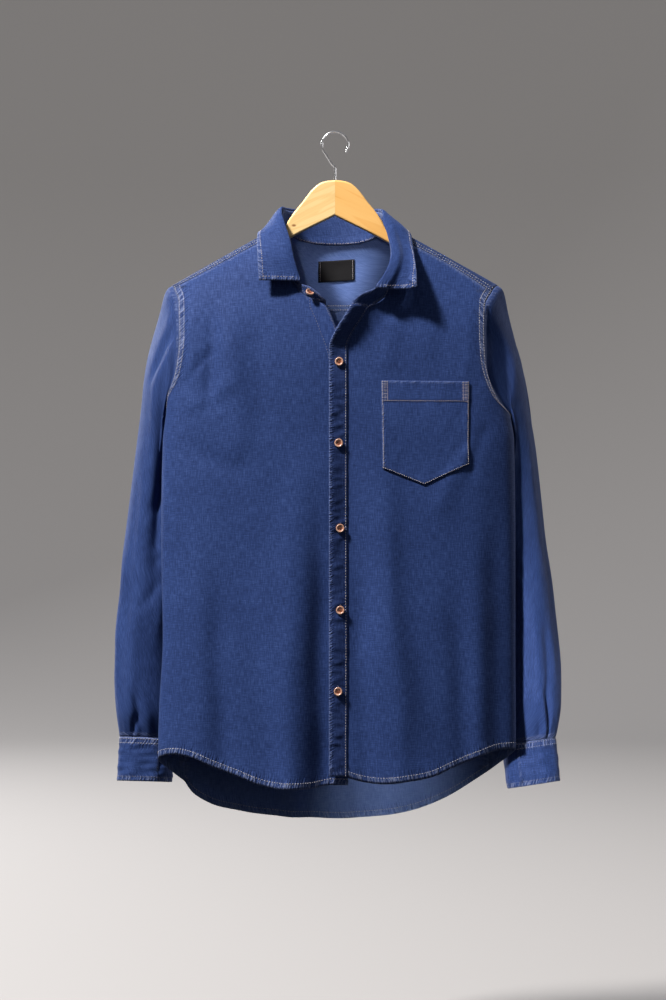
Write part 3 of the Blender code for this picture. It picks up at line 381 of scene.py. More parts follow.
def unit_section(face):
    """A quarter of a body section: share of its run, of its half width and of its depth."""
    angle = np.linspace(0, math.pi / 2, PROFILE_STEPS)
    wide = np.sin(angle) ** (2 / POWER[face])
    deep = np.cos(angle) ** (2 / POWER[face])
    run = np.r_[0, np.cumsum(np.hypot(np.diff(wide), np.diff(deep) * FLATNESS[face]))]
    return run / run[-1], wide, deep


SECTION = {face: unit_section(face) for face in (-1, 1)}
BODY_TABLE = np.array(BODY, float)[::-1]


def section(face, share, known, sought):
    """Turns one share of a body section into another, on the front or the back."""
    front, back = (np.interp(share, SECTION[f][known], SECTION[f][sought]) for f in (-1, 1))
    return np.where(face < 0, front, back)


def body_value(name, z):
    return smooth(BODY_TABLE[:, 0], BODY_TABLE[:, BODY_COLUMNS.index(name)], z).reshape(np.shape(z))


def half_width(x, z):
    return np.where(x < 0, body_value("right", z), body_value("left", z))


def width_share(x, z):
    return np.clip(np.abs(x) / half_width(x, z), 0, 1)


def ridge_z(x):
    return RIDGE_TOP - RIDGE_SLOPE * np.hypot(x, RIDGE_ROUND)


def fullness(face, z, drop):
    """Depth of the body in front of or behind its sides, at a drop below the shoulder line."""
    return body_value("front" if face < 0 else "back", z) * np.sqrt(1 - np.exp(-drop / SPREAD[face]))


def fold_depth(face, x, z):
    lift = np.zeros_like(np.asarray(x, float))
    wx = x + 2.6 * waver(x, z, 11, 170)
    for number, (side, x0, z0, x1, z1, bow, width, height, lean) in enumerate(FOLDS):
        along = np.array([x1 - x0, z1 - z0], float)
        length = np.hypot(*along)
        along /= length
        run = (wx - x0) * along[0] + (z - z0) * along[1]
        share = np.clip(run / length, 0, 1)
        off = (wx - x0) * along[1] - (z - z0) * along[0] - bow * 4 * share * (1 - share)
        off = off + 2.0 * waver(run, run * 0, 100 + number, 150)
        if z1 < HEM_FOLD_Z:
            fade = ease(run, 0, 0.45 * length)
        else:
            fade = ease(run, 0, 0.32 * length) * (1 - ease(run, 0.75 * length, length))
        lift = lift + np.where(face == side, height * fade, 0) * ridge_profile(off, width, lean)
    rough = np.where(face < 0, 0.8, 1.2) * ease(-z, 215, 330)
    return lift + rough * waver(x, z * 0.5, 21, 80)


def surface(x, z, face, deep):
    drop = np.maximum(ridge_z(x) - z, 0)
    lift = fold_depth(face, x, z)
    out = np.where(face < 0, -(fullness(-1, z, drop) + lift), fullness(1, z, drop) + lift)
    return np.column_stack([x, body_value("side_y", z) + out * deep, z])


def body(points):
    """Points in space from places round the section and heights."""
    place, z = np.asarray(points, float).T
    round_to = np.abs(place)
    face = np.where(round_to <= 1, -1, 1)
    share = np.where(round_to <= 1, round_to, 2 - round_to)
    sign = np.where(place < 0, -1.0, 1.0)
    x = sign * half_width(sign, z) * section(face, share, RUN, WIDE)
    return surface(x, z, face, section(face, share, RUN, DEEP))


def back_body(points):
    """As body, for places counted from the centre of the back."""
    share, z = np.asarray(points, float).T
    sign = np.where(share < 0, -1.0, 1.0)
    return body(np.column_stack([sign * (2 - np.abs(share)), z]))


def place_of(x, z, face):
    """The place round the section of a point that is seen at x, z on one face."""
    x = np.asarray(x, float)
    z = np.broadcast_to(np.asarray(z, float), x.shape)
    run = section(face, width_share(x, z), WIDE, RUN)
    return np.where(x < 0, -1.0, 1.0) * (run if face < 0 else 2 - run)


def placed(points):
    x, z = np.asarray(points, float).T
    return np.column_stack([place_of(x, z, -1), z])


def back_placed(points):
    x, z = np.asarray(points, float).T
    return np.column_stack([np.sign(x) * (2 - np.abs(place_of(x, z, 1))), z])


def front_at(points):
    return body(placed(points))


def over_shoulder(points):
    """Points in space from x and t, where t squared is the drop and its sign the face."""
    x, t = np.asarray(points, float).T
    z = ridge_z(x) - t * t
    face = np.where(t < 0, -1, 1)
    return surface(x, z, face, section(face, width_share(x, z), WIDE, DEEP))


def to_shoulder(x, z, face):
    drop = np.maximum(ridge_z(np.asarray(x, float)) - np.asarray(z, float), 0)
    return np.column_stack([x, np.asarray(face) * np.sqrt(drop)])


def clear_of_body(points, gap):
    """Points pushed out until they are a gap away from the body."""
    x, y, z = points.T
    middle = body_value("side_y", z)
    front = y < middle
    power = np.where(front, POWER[-1], POWER[1])
    depth = np.where(front, body_value("front", z), body_value("back", z)) + gap
    wide = half_width(x, z) + gap
    out = y - middle
    reach = ((np.abs(x) / wide) ** power + (np.abs(out) / depth) ** power) ** (1 / power)
    grow = np.where(reach < 1, 1 / np.maximum(reach, 0.3), 1)
    return np.column_stack([x * grow, middle + out * grow, z])


def clear_of_shoulders(points, gap):
    """Points moved forward or back until they are a gap away from fronts, yoke and back."""
    x, y, z = points.T
    drop = np.maximum(ridge_z(x) + gap - z, 0)
    middle = body_value("side_y", z)
    deep = {face: fullness(face, z, drop) * section(face, width_share(x, z), WIDE, DEEP) for face in (-1, 1)}
    front = middle - deep[-1] - gap - np.where(x > 0, over_lift(points), 0)
    back = middle + deep[1] + gap
    clear = np.where(y < middle, np.minimum(y, front), np.maximum(y, back))
    return np.column_stack([x, np.where(drop > 0, clear, y), z])


# ---- seams that two pieces share ------------------------------------------------------
def armhole_front(side):
    below = [[side * place, z] for place, z in (ARMHOLE_BELOW, ARMHOLE_UNDERARM)]
    return through(np.vstack([placed(ARMHOLE[side]), below]), ROWS_ARMHOLE_FRONT, body)


def armhole_back(side):
    rows = np.array((ARMHOLE_UNDERARM,) + ARMHOLE_BACK, float)
    rows[:, 0] *= side
    return through(rows, ROWS_ARMHOLE_BACK, body)


def armhole_yoke(side):
    back_x = body(armhole_back(side)[-1:])[0, 0]
    front_x, front_z = YOKE_FRONT[side][-1]
    start = to_shoulder([back_x], [YOKE_BACK_Z], [1])[0]
    end = to_shoulder([front_x], [front_z], [-1])[0]
    path = np.array([end, [side * TIP_X, 0.0], start])
    t = np.linspace(start[1], end[1], ROWS_ARMHOLE_YOKE + 1)
    return np.column_stack([smooth(path[:, 1], path[:, 0], t), t])


def yoke_front(side):
    return through(YOKE_FRONT[side], COLUMNS_SHOULDER, front_at)


def yoke_seam_back():
    right, left = (body(armhole_back(side)[-1:])[0, 0] for side in (-1, 1))
    x = np.linspace(right, left, 2 * COLUMNS_SHOULDER + COLUMNS_NECK_BACK + 1)
    return np.column_stack([x, np.full(len(x), YOKE_BACK_Z)])


def edge_x(side, z):
    z_at, x_at = np.array(EDGE_PATH[side], float)[::-1].T
    return smooth(z_at, x_at, z)


def neck_front(side):
    top = EDGE_TOP[side]
    corner = (edge_x(side, top)[0], top)
    band = np.linspace(corner, NECK[side][0], COLUMNS_PLACKET + 1)
    return np.vstack([band, through(NECK[side], COLUMNS_NECK, front_at)[1:]])


def neck_back():
    x, z, face = np.array(NECK_BACK, float).T
    z = np.where(face == 0, ridge_z(x), z)
    return through(to_shoulder(x, z, face), COLUMNS_NECK_BACK, over_shoulder)


def side_seam(side, place):
    """The side seam below the underarm, at a place round the section."""
    z = np.linspace(ARMHOLE_UNDERARM[1], HEM_SIDE[side], ROWS_BODY + 1)[1:]
    return np.column_stack([np.full(ROWS_BODY, side * place), z])


def over_lift(points):
    """How far the over front stands out: its lap, its open neck corner and its free edge."""
    x, z = points[..., 0], points[..., 2]
    lap = LAP * (1 - ease(x, 30, 90))
    beyond = x - edge_x(1, z).reshape(np.shape(z))
    flare = 11.5 * (1 - ease(beyond, 0, 24)) * ease(z, -318, -252)
    flare += 9.0 * (1 - ease(beyond, 10, 60)) * ease(z, -300, -232)
    tilt = 6.0 * (1 - ease(x, -12, 20)) * ease(-z, 285, 350)
    return lap + flare + tilt


# ---- grids ------------------------------------------------------------------------------
def patch(top, bottom, first, last, down=None, fades=(1, 1)):
    """A grid between four lines, with the first and last line's bends fading across it."""
    u = np.linspace(0, 1, len(top))[None, :, None]
    v = np.linspace(0, 1, len(first)) if down is None else down
    v = v[:, None, None]
    grid = (1 - v) * top[None] + v * bottom[None]
    for edge, weight, end in ((first, (1 - u) ** fades[0], 0), (last, u ** fades[1], -1)):
        straight = (1 - v[:, 0]) * top[end] + v[:, 0] * bottom[end]
        grid = grid + weight * (edge - straight)[:, None]
    return grid


def on(grid, place):
    return place(grid.reshape(-1, 2)).reshape(*grid.shape[:2], 3)


def outward(grid, turned=False, ring=False):
    """Unit normals on a grid's outer side."""
    down = np.gradient(grid, axis=0)
    if ring:
        wide = np.concatenate([grid[:, -2:-1], grid, grid[:, 1:2]], axis=1)
        across = (wide[:, 2:] - wide[:, :-2]) / 2
    else:
        across = np.gradient(grid, axis=1)
    return unit(np.cross(down, across)) * (-1 if turned else 1)


def toward(normals, sign):
    """Normals turned to point to one side, -1 for forward and 1 for back."""
    return normals * np.sign(sign * normals[..., 1:2])


def resampled(grid, count, axis):
    """A grid made finer along one axis with smooth curves."""
    moved = np.moveaxis(grid, axis, 0)
    run = np.arange(len(moved), dtype=float)
    fine = smooth(run, moved.reshape(len(moved), -1), np.linspace(0, run[-1], count + 1))
    return np.moveaxis(fine.reshape((count + 1,) + moved.shape[1:]), 0, axis)


def front_grid(side):
    top = placed(np.vstack([neck_front(side), yoke_front(side)[1:]]))
    last = np.vstack([armhole_front(side), side_seam(side, SIDE_SEAM)])
    hem = np.array(HEM[side], float)
    run = run_down(body(last))
    down = run / run[-1]
    z = top[0, 1] + (hem[0, 1] - top[0, 1]) * down
    bands = np.stack([placed(np.column_stack([edge_x(side, z) + side * share * PLACKET_WIDTH, z]))
                      for share in np.linspace(0, 1, COLUMNS_PLACKET + 1)], axis=1)
    bands[0] = top[:COLUMNS_PLACKET + 1]
    hem_at = hem[np.argsort(hem[:, 0])]
    bands[-1, :, 1] = smooth(hem_at[:, 0], hem_at[:, 1], body(bands[-1])[:, 0])
    corner_x = body(bands[-1, -1:])[0, 0]
    beyond = hem[side * (hem[:, 0] - corner_x) > 5]
    hem_end = [[side * 1.1, (beyond[-1, 1] + HEM_SIDE[side]) / 2], [side * SIDE_SEAM, HEM_SIDE[side]]]
    rest = top[COLUMNS_PLACKET:]
    bottom = through(np.vstack([bands[-1, -1:], placed(beyond), hem_end]), len(rest) - 1, body)
    panel = patch(rest, bottom, bands[:, -1], last, down, fades=(5, 2.2))
    grid = on(np.concatenate([bands[:, :-1], panel], axis=1), body)
    if side > 0:
        grid[..., 1] -= over_lift(grid)
    return grid


def back_grid():
    top = back_placed(yoke_seam_back())
    edges = []
    for side in (-1, 1):
        place, z = armhole_back(side)[::-1].T
        armhole = np.column_stack([side * (2 - np.abs(place)), z])
        edges.append(np.vstack([armhole, side_seam(side, 2 - SIDE_SEAM)]))
    hem = np.vstack([edges[0][-1:], back_placed(HEM_BACK), edges[1][-1:]])
    return on(patch(top, through(hem, len(top) - 1, back_body), *edges), back_body)


def yoke_grid():
    right, left = (to_shoulder(*yoke_front(side).T, -1) for side in (-1, 1))
    front = np.vstack([right[:0:-1], neck_back(), left[1:]])
    seam = to_shoulder(*yoke_seam_back().T, 1)
    return on(patch(seam, front, armhole_yoke(-1), armhole_yoke(1)), over_shoulder)


def squared(turned, amount):
    """A sine or cosine that makes a flattened ring instead of a round one."""
    return np.sign(turned) * np.abs(turned) ** (1 - 0.3 * amount)


def sleeve_rings(side):
    """Rings from the armhole to the cuff, with the angle of each column round the sleeve."""
    ring = np.vstack([body(armhole_front(side)), body(armhole_back(side))[1:],
                      over_shoulder(armhole_yoke(side))[1:-1]])
    run = np.linalg.norm(np.roll(ring, -1, axis=0) - ring, axis=1)
    along = np.r_[0, np.cumsum(run)]
    top = along[-1] - 0.25 * run[-ROWS_ARMHOLE_YOKE // 2:].sum()
    under = along[ROWS_ARMHOLE_FRONT]
    start = top - along[-1]
    forward = (along[:-1] - start) / (under - start)
    behind = (along[:-1] - under) / (top - under)
    angle = math.pi * np.where(np.arange(len(ring)) <= ROWS_ARMHOLE_FRONT, forward, 1 + behind)
    table = np.array(SLEEVE[side], float)
    stations = np.linspace(0, len(table) - 1, SLEEVE_RINGS + 1)
    head = (table[0, [0, 4, 1]] + table[0, [2, 4, 3]]) / 2
    rings = []
    for station, row in zip(stations, smooth(np.arange(len(table)), table, stations)):
        outer_x, outer_z, inner_x, inner_z, mid_y, depth = row
        outer, inner = np.array([outer_x, mid_y, outer_z]), np.array([inner_x, mid_y, inner_z])
        middle = (outer + inner) / 2
        flat = float(ease(-outer_z, 690, 806))
        shape = (middle + np.outer(squared(np.cos(angle), flat), (outer - inner) / 2)
                 + np.outer(squared(np.sin(angle), flat), [0.0, -depth, 0.0]))
        blend = ease(station, 0, 2.6)
        rings.append((1 - blend) * (ring + middle - head) + blend * shape)
    rings = np.array(rings)
    rings[0] = ring
    below = 1 - ease(rings[1:, :, 2], -385, -325)
    pushed = clear_of_body(rings[1:].reshape(-1, 3), SLEEVE_CLEAR).reshape(rings[1:].shape)
    rings[1:] += (pushed - rings[1:]) * below[..., None]
    rings[..., 2] += CUFF_RISE * np.clip(np.sin(angle), 0, 1)[None] * ease(-rings[..., 2], 730, 806)
    return rings, angle


def cuff_grid(side, steps=112, rows_down=28):
    top, bottom = (np.array(line, float) for line in CUFF[side])
    top[[1, 3]] -= SEAM / 4
    turns = np.linspace(0, 2 * math.pi + CUFF_LAP, steps + 1)
    angle = CUFF_START + turns
    grown = (1 + 0.05 * ease(turns, 2 * math.pi - 0.5, 2 * math.pi))[:, None]
    deep = np.outer(squared(np.sin(angle), 1.0), [0, -CUFF_DEPTH, 0])
    raised = np.outer(np.maximum(0, np.sin(angle)), [0, 0, CUFF_RISE])
    rows = []
    for share in np.linspace(0, 1, rows_down + 1):
        x0, z0, x1, z1 = top + (bottom - top) * share
        middle = np.array([(x0 + x1) / 2, CUFF_Y, (z0 + z1) / 2])
        wide = np.outer(squared(np.cos(angle), 1.0), np.array([x0 - x1, 0, z0 - z1]) / 2)
        rows.append(middle + grown * (wide + deep) + raised)
    return np.array(rows)


def collar_lines(count):
    """The collar's fold and its outer edge."""
    both = through(COLLAR, count)
    lines = both[:, :3], both[:, 3:]
    for line, forward in zip(lines, COLLAR_FORWARD):
        line[:, 1] -= np.where(line[:, 0] > 0, forward * ease(-line[:, 2], 125, 190), 0)
    return lines


def neck_line():
    right, left = (front_at(neck_front(side)) for side in (-1, 1))
    left[:, 1] -= over_lift(left)
    return np.vstack([right[:-1], over_shoulder(neck_back()), left[::-1][1:]])


def collar_frame(fold):
    """Directions down the stand and out of the collar along its fold."""
    low = neck_line()
    along = unit(np.gradient(fold, axis=0))
    nearest = low[np.argmin(np.linalg.norm(fold[:, None] - low[None], axis=2), axis=1)]
    down = nearest - fold
    down -= (down * along).sum(axis=1)[:, None] * along
    down = (down + np.roll(down, 1, axis=0) + np.roll(down, -1, axis=0)) / 3
    down[[0, -1]] = down[[1, -2]]
    down = unit(down)
    return down, unit(np.cross(along, down))


def stand_grid():
    low = neck_line()
    fold, _ = collar_lines(COLLAR_STATIONS)
    top = fold + collar_frame(fold)[0] * (FALL_ROLL - 0.8)
    steps = 2400
    path = through(np.vstack([STAND_END[-1][::-1], top, STAND_END[1]]), steps)
    nearest = np.argmin(np.linalg.norm(low[:, None] - path[None], axis=2), axis=1) / steps
    share = 0.35 * np.linspace(0, 1, len(low)) + 0.65 * np.maximum.accumulate(nearest)
    share[[0, -1]] = 0, 1
    for _ in range(60):
        share[1:-1] = (share[:-2] + share[1:-1] + share[2:]) / 3
    high = at_runs(share * steps, np.arange(steps + 1), path)
    grid = np.array([low * (1 - level) + high * level for level in np.linspace(0, 1, 14)])
    grid[0] += unit(high - low) * STAND_GAP
    behind = ease(grid[0, :, 1], 15, 45)
    for row, (inward, lower, _) in zip(grid, STAND_LOW):
        row[:, 1] -= inward * behind
        row[:, 2] -= lower * behind
    overlap = ease(grid[0, :, 0], 8, 24) * ease(-grid[0, :, 1], 45, 60)
    for row, (_, _, laps) in zip(grid, STAND_LOW):
        row[:, 1] -= 1.8 * laps * overlap
        row[:, 2] -= 2.0 * laps * overlap
    return grid


def fall_grid():
    fold, edge = collar_lines(COLLAR_STATIONS)
    down, out = collar_frame(fold)
    rows = [fold + down * FALL_ROLL, fold + out * 0.4, fold + out * 3.4 + down]
    tip = 4.5 * ease(np.arange(len(fold)), 0.72 * len(fold), len(fold) - 1)
    for share, left, right in FALL_ROWS:
        stand_off = 4.4 * (1 - share) + 4.0 * math.sin(math.pi * share)
        row = clear_of_shoulders(fold + (edge - fold) * share + out * stand_off, BAND + FALL_CLEAR)
        left = left + tip * min(1.0, share * 2.4)
        row[:, 1] -= np.where(row[:, 0] > 0, left, right) * ease(-row[:, 1], 15, 55)
        rows.append(row)
    grid = resampled(np.array(rows), 210, 1)
    return np.stack([through(grid[:, k], 34) for k in range(grid.shape[1])], axis=1)


# ---- pieces ------------------------------------------------------------------------------
EDGES = ("top", "bottom", "first", "last")


def add_piece(name, data, node=None, place=None):
    """An object in the shirt's body, which stands for a CAD node if one is named."""
    piece = bpy.data.objects.new(name, data)
    bpy.context.scene.collection.objects.link(piece)
    if place is not None:
        piece.matrix_world = place
    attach(piece, "root")
    if node:
        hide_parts(node)
    return piece


def edge_runs(grid):
    """Distance of each point from the grid's top, bottom, first and last edge."""
    down = run_down(grid)
    across = run_down(np.swapaxes(grid, 0, 1)).T
    return down, down[-1:] - down, across, across[:, -1:] - across


def from_edge(grid, edge):
    """The grid's lines along one edge, that edge first."""
    lines = np.swapaxes(grid, 0, 1) if edge in ("first", "last") else grid
    return lines[::-1] if edge in ("bottom", "last") else lines


def inset(grid, edge, distance):
    """The line at a distance inside one edge of a grid."""
    lines = from_edge(grid, edge)
    run = run_down(lines)
    return np.vstack([at_runs([distance], run[:, k], lines[:, k]) for k in range(lines.shape[1])])


def worn_edges(runs, marks):
    """For each point: place along the nearest marked edge, share of its width, strength."""
    shape = runs["top"].shape
    along, nearest, strength = np.zeros(shape), np.full(shape, 9.0), np.zeros(shape)
    for edge, (amount, width) in marks.items():
        gap = runs[edge] / width
        closer = gap < nearest
        nearest = np.where(closer, gap, nearest)
        along = np.where(closer, runs["first" if edge in ("top", "bottom") else "top"], along)
        strength = np.where(closer, amount, strength)
    return np.stack([along, nearest, strength], axis=-1).reshape(-1, 3)


def cloth(node, grid, marks, wall=CLOTH, turned=False, ring=False, finishes=None,
          laid=None):
    """A shell of cloth from a grid of its outer face, with rounded edges.

    marks says how strongly and how far in each edge is puckered and worn, and laid is how the
    weave lies where it runs straight.
    """
    rows, columns = grid.shape[:2]
    runs = dict(zip(EDGES, edge_runs(grid)))
    facing = outward(grid, turned, ring)
    rounding = np.max([1 - ease(runs[edge], 0, 0.9) for edge in EDGES[:2 if ring else 4]], axis=0)[..., None]
    outer = grid - facing * (0.36 * wall * rounding)
    inner = grid - facing * wall + facing * (0.30 * wall * rounding)
    count = rows * columns
    index = np.arange(count).reshape(rows, columns)
    corners = index[:-1, :-1], index[1:, :-1], index[1:, 1:], index[:-1, 1:]
    front = np.stack(corners, axis=-1).reshape(-1, 4)
    behind = np.stack(corners[::-1], axis=-1).reshape(-1, 4) + count
    loop = np.r_[index[0, :-1], index[:-1, -1], index[-1, :0:-1], index[:0:-1, 0]]
    follow = np.roll(loop, -1)
    rim = np.stack([loop, follow, follow + count, loop + count], axis=-1)
    faces = np.vstack([front, behind, rim])
    if turned:
        faces = faces[:, ::-1]
    mesh = bpy.data.meshes.new(node + "_cloth")
    mesh.vertices.add(2 * count)
    points = np.vstack([outer.reshape(-1, 3), inner.reshape(-1, 3)]) * MM
    mesh.vertices.foreach_set("co", points.astype(np.float32).ravel())
    mesh.loops.add(faces.size)
    mesh.loops.foreach_set("vertex_index", faces.astype(np.int32).ravel())
    mesh.polygons.add(len(faces))
    mesh.polygons.foreach_set("loop_start", np.arange(0, faces.size, 4, dtype=np.int32))
    mesh.polygons.foreach_set("loop_total", np.full(len(faces), 4, dtype=np.int32))
    wrong_side = np.zeros(len(faces), dtype=np.int32)
    wrong_side[len(front):2 * len(front)] = 1
    mesh.polygons.foreach_set("material_index", wrong_side)
    mesh.update(calc_edges=True)
    mesh.shade_smooth()
    laid = np.stack([runs["first"], -runs["top"]], axis=-1) if laid is None else laid
    weave = np.tile(laid.reshape(-1, 2) * MM, (2, 1))[faces.ravel()]
    mesh.uv_layers.new(name="cloth_uv").data.foreach_set("uv", weave.astype(np.float32).ravel())
    seam = np.tile(worn_edges(runs, marks), (2, 1)).astype(np.float32)
    mesh.attributes.new("seam", "FLOAT_VECTOR", "POINT").data.foreach_set("vector", seam.ravel())
    for finish in finishes or (DENIM, DENIM_WRONG):
        mesh.materials.append(finish)
    made = add_piece(node + "_cloth", mesh, node)
    return made


class Thread:
    """Rows of stitches, gathered and made into one mesh."""

    STEPS = np.array([0.0, 0.22, 0.5, 0.78, 1.0])       # along one stitch
    ARCH = np.array([-0.75, 0.25, 0.62, 0.25, -0.75])   # its rise, in radii
    GIRTH = np.array([0.35, 0.95, 1.0, 0.95, 0.35])     # its thickness, in radii

    def __init__(self, name, finish):
        self.name = name
        self.finish = finish
        self.points = []
        self.faces = []
        self.total = 0
        self.rng = np.random.default_rng(len(name) * 7 + 3)

    def row(self, line, facing, pitch=3.6, length=2.25, radius=0.33, lift=0.15, sides=5):
        """Stitches along a line of points, standing on a surface that faces facing."""
        line = np.asarray(line, float)
        facing = np.broadcast_to(np.asarray(facing, float), line.shape)
        run = run_down(line)
        count = max(int(run[-1] / pitch), 1)
        starts = (np.arange(count) + 0.12) * run[-1] / count
        at = (starts[:, None] + self.STEPS[None] * length).ravel()
        ups = unit(at_runs(at, run, facing))
        tangents = unit(at_runs(at + 0.6, run, line) - at_runs(at - 0.6, run, line))
        sideways = unit(np.cross(tangents, ups))
        jitter = np.repeat(self.rng.normal(0, 0.09, count), len(self.STEPS))[:, None]
        rise = (lift + np.tile(self.ARCH, count) * radius)[:, None]
        spots = at_runs(at, run, line) + sideways * jitter + ups * rise
        size = (np.tile(self.GIRTH, count) * radius)[:, None, None]
        turns = np.arange(sides) * 2 * math.pi / sides
        ring = (spots[:, None] + sideways[:, None] * (np.cos(turns)[None, :, None] * size)
                + ups[:, None] * (np.sin(turns)[None, :, None] * size * 0.8))
        self.points.append(ring.reshape(-1, 3))
        base = self.total + np.arange(count)[:, None, None] * 5 * sides
        station = np.arange(4)[None, :, None] * sides
        side = np.arange(sides)[None, None, :]
        ahead = (side + 1) % sides
        quads = np.stack([base + station + side, base + station + ahead,
                          base + station + sides + ahead, base + station + sides + side], axis=-1)
        self.faces += quads.reshape(-1, 4).tolist()
        for start in base.ravel().tolist():
            self.faces.append(list(range(start, start + sides))[::-1])
            self.faces.append(list(range(start + 4 * sides, start + 5 * sides)))
        self.total += count * 5 * sides

    def make(self):
        mesh = bpy.data.meshes.new(self.name)
        mesh.from_pydata((np.vstack(self.points) * MM).tolist(), [], self.faces)
        mesh.shade_smooth()
        mesh.materials.append(self.finish)
        add_piece(self.name, mesh)


# ---- materials -----------------------------------------------------------------------------
class Nodes:
    """Short names for building a tree of nodes."""

    def __init__(self, tree):
        self.tree = tree

    def add(self, kind, **values):
        node = self.tree.nodes.new(kind)
        for key, value in values.items():
            setattr(node, key, value)
        return node

    def link(self, source, target):
        self.tree.links.new(source, target)

    def value(self, node, socket, source):
        if hasattr(source, "is_output"):
            self.link(source, node.inputs[socket])
        else:
            node.inputs[socket].default_value = (*source, 1) if isinstance(source, tuple) else source

    def math(self, operation, a, b=0.0):
        node = self.add("ShaderNodeMath", operation=operation)
        self.value(node, 0, a)
        self.value(node, 1, b)
        return node.outputs[0]

    def times(self, a, b):
        return self.math("MULTIPLY", a, b)

    def plus(self, a, b):
        return self.math("ADD", a, b)

    def here(self):
        return self.add("ShaderNodeTexCoord").outputs["Object"]

    def split(self, vector):
        node = self.add("ShaderNodeSeparateXYZ")
        self.link(vector, node.inputs[0])
        return node.outputs

    def vector_math(self, operation, vector, other):
        node = self.add("ShaderNodeVectorMath", operation=operation)
        self.link(vector, node.inputs[0])
        node.inputs[1].default_value = other
        return node.outputs["Value"]

    def scaled(self, vector, scale, turn=(0, 0, 0)):
        node = self.add("ShaderNodeMapping")
        self.link(vector, node.inputs["Vector"])
        node.inputs["Scale"].default_value = scale
        node.inputs["Rotation"].default_value = turn
        return node.outputs[0]

    def noise(self, vector, scale=1.0, detail=2.0, rough=0.5, distortion=0.0):
        node = self.add("ShaderNodeTexNoise")
        self.link(vector, node.inputs["Vector"])
        for socket, number in (("Scale", scale), ("Detail", detail), ("Roughness", rough),
                               ("Distortion", distortion)):
            node.inputs[socket].default_value = number
        return node.outputs["Fac"]

    def mapped(self, source, low, high, new_low=0.0, new_high=1.0, kind="SMOOTHSTEP"):
        node = self.add("ShaderNodeMapRange", interpolation_type=kind)
        for socket, number in enumerate((source, low, high, new_low, new_high)):
            self.value(node, socket, number)
        return node.outputs[0]

    def ramp(self, source, stops):
        node = self.add("ShaderNodeValToRGB")
        self.link(source, node.inputs[0])
        elements = node.color_ramp.elements
        while len(elements) < len(stops):
            elements.new(0.5)
        for element, (position, colour) in zip(elements, stops):
            element.position = position
            element.color = (*colour, 1)
        return node.outputs[0]

    def mix(self, factor, a, b):
        node = self.add("ShaderNodeMix", data_type="RGBA", blend_type="MIX")
        for socket, source in ((0, factor), (6, a), (7, b)):
            self.value(node, socket, source)
        return node.outputs[2]

    def bump(self, height, distance, strength, after=None):
        node = self.add("ShaderNodeBump")
        self.link(height, node.inputs["Height"])
        node.inputs["Distance"].default_value = distance
        node.inputs["Strength"].default_value = strength
        if after is not None:
            self.link(after, node.inputs["Normal"])
        return node.outputs[0]


class Shader(Nodes):
    """A material built round a Principled BSDF."""

    def __init__(self, name):
        self.material = bpy.data.materials.new(name)
        self.material.use_nodes = True
        super().__init__(self.material.node_tree)

    def finish(self, colour, roughness, normal=None, **values):
        surface = self.tree.nodes["Principled BSDF"]
        for socket, source in (("Base Color", colour), ("Roughness", roughness), ("Normal", normal)):
            if source is not None:
                self.value(surface, socket, source)
        for socket, source in values.items():
            surface.inputs[socket.replace("_", " ")].default_value = source
        return self.material


def denim(name, dark, middle, light, pale_wear_and_highlight, slant=2.0, pitch=0.42, edge_wear_and_highlight=0.5):
    """Indigo denim: twill, uneven yarns, seams worn pale where they pucker, and a thin pale line on each very
    edge, which is fold wear and, where its weight is raised, as on the placket, a painted highlight.
    """
    s = Shader(name)
    mm = s.scaled(s.add("ShaderNodeUVMap", uv_map="cloth_uv").outputs[0], (1000, 1000, 1000))
    warp = s.noise(s.scaled(mm, (0.80, 0.085, 1)))
    weft = s.noise(s.scaled(mm, (0.095, 0.85, 1)))
    fleck = s.noise(mm, scale=0.85, detail=3, rough=0.7)
    cloud = s.noise(mm, scale=0.012, detail=3, rough=0.55)
    yarn = s.plus(s.times(warp, 0.42), s.times(weft, 0.34))
    yarn = s.plus(yarn, s.times(fleck, 0.24))
    tone = s.plus(s.times(yarn, 0.88), s.times(cloud, 0.12))
    colour = s.ramp(tone, ((0.37, dark), (0.5, middle), (0.63, light)))
    along, off, amount = s.split(s.add("ShaderNodeAttribute", attribute_name="seam").outputs["Vector"])
    place = s.add("ShaderNodeCombineXYZ")
    s.link(s.plus(along, s.times(off, slant)), place.inputs[0])
    s.link(s.times(off, 9.0), place.inputs[1])
    rope = s.noise(s.scaled(place.outputs[0], (pitch, 0.05, 1)), detail=1.5, rough=0.45)
    grit = s.noise(s.scaled(place.outputs[0], (0.55, 0.42, 1)), detail=3, rough=0.75)
    near = s.times(s.mapped(off, 1.25, 0.9), amount)
    spread = s.times(s.mapped(off, 2.6, 0.8), amount)
    patch_tone = s.plus(s.times(rope, 0.6), s.times(grit, 0.4))
    wear = s.times(near, s.mapped(patch_tone, 0.45, 0.60))
    # a thin pale line along each very edge: wear on a folded edge, and where its weight is raised, as on the
    # placket, a painted highlight of the edge catching the light
    edge = s.times(s.times(s.mapped(off, 0.26, 0.04), amount), edge_wear_and_highlight)
    colour = s.mix(s.math("MAXIMUM", s.times(wear, 0.75), edge), colour, pale_wear_and_highlight)
    colour = s.mix(s.times(s.times(near, s.mapped(patch_tone, 0.50, 0.36)), 0.6), colour, dark)
    ribs = s.math("SINE", s.vector_math("DOT_PRODUCT", mm, (6.2, 5.0, 0)))
    fine = s.bump(s.plus(s.times(ribs, 0.22), s.times(yarn, 1.3)), 0.00013, 0.7)
    coarse = s.bump(s.times(s.math("SUBTRACT", rope, 0.5), spread), 0.0032, 0.9, after=fine)
    return s.finish(colour, s.mapped(yarn, 0.3, 0.7, 0.82, 0.66), coarse, Sheen_Weight=0.08,
                    Sheen_Roughness=0.4, Sheen_Tint=(0.50, 0.62, 1.0, 1.0), Specular_IOR_Level=0.14)


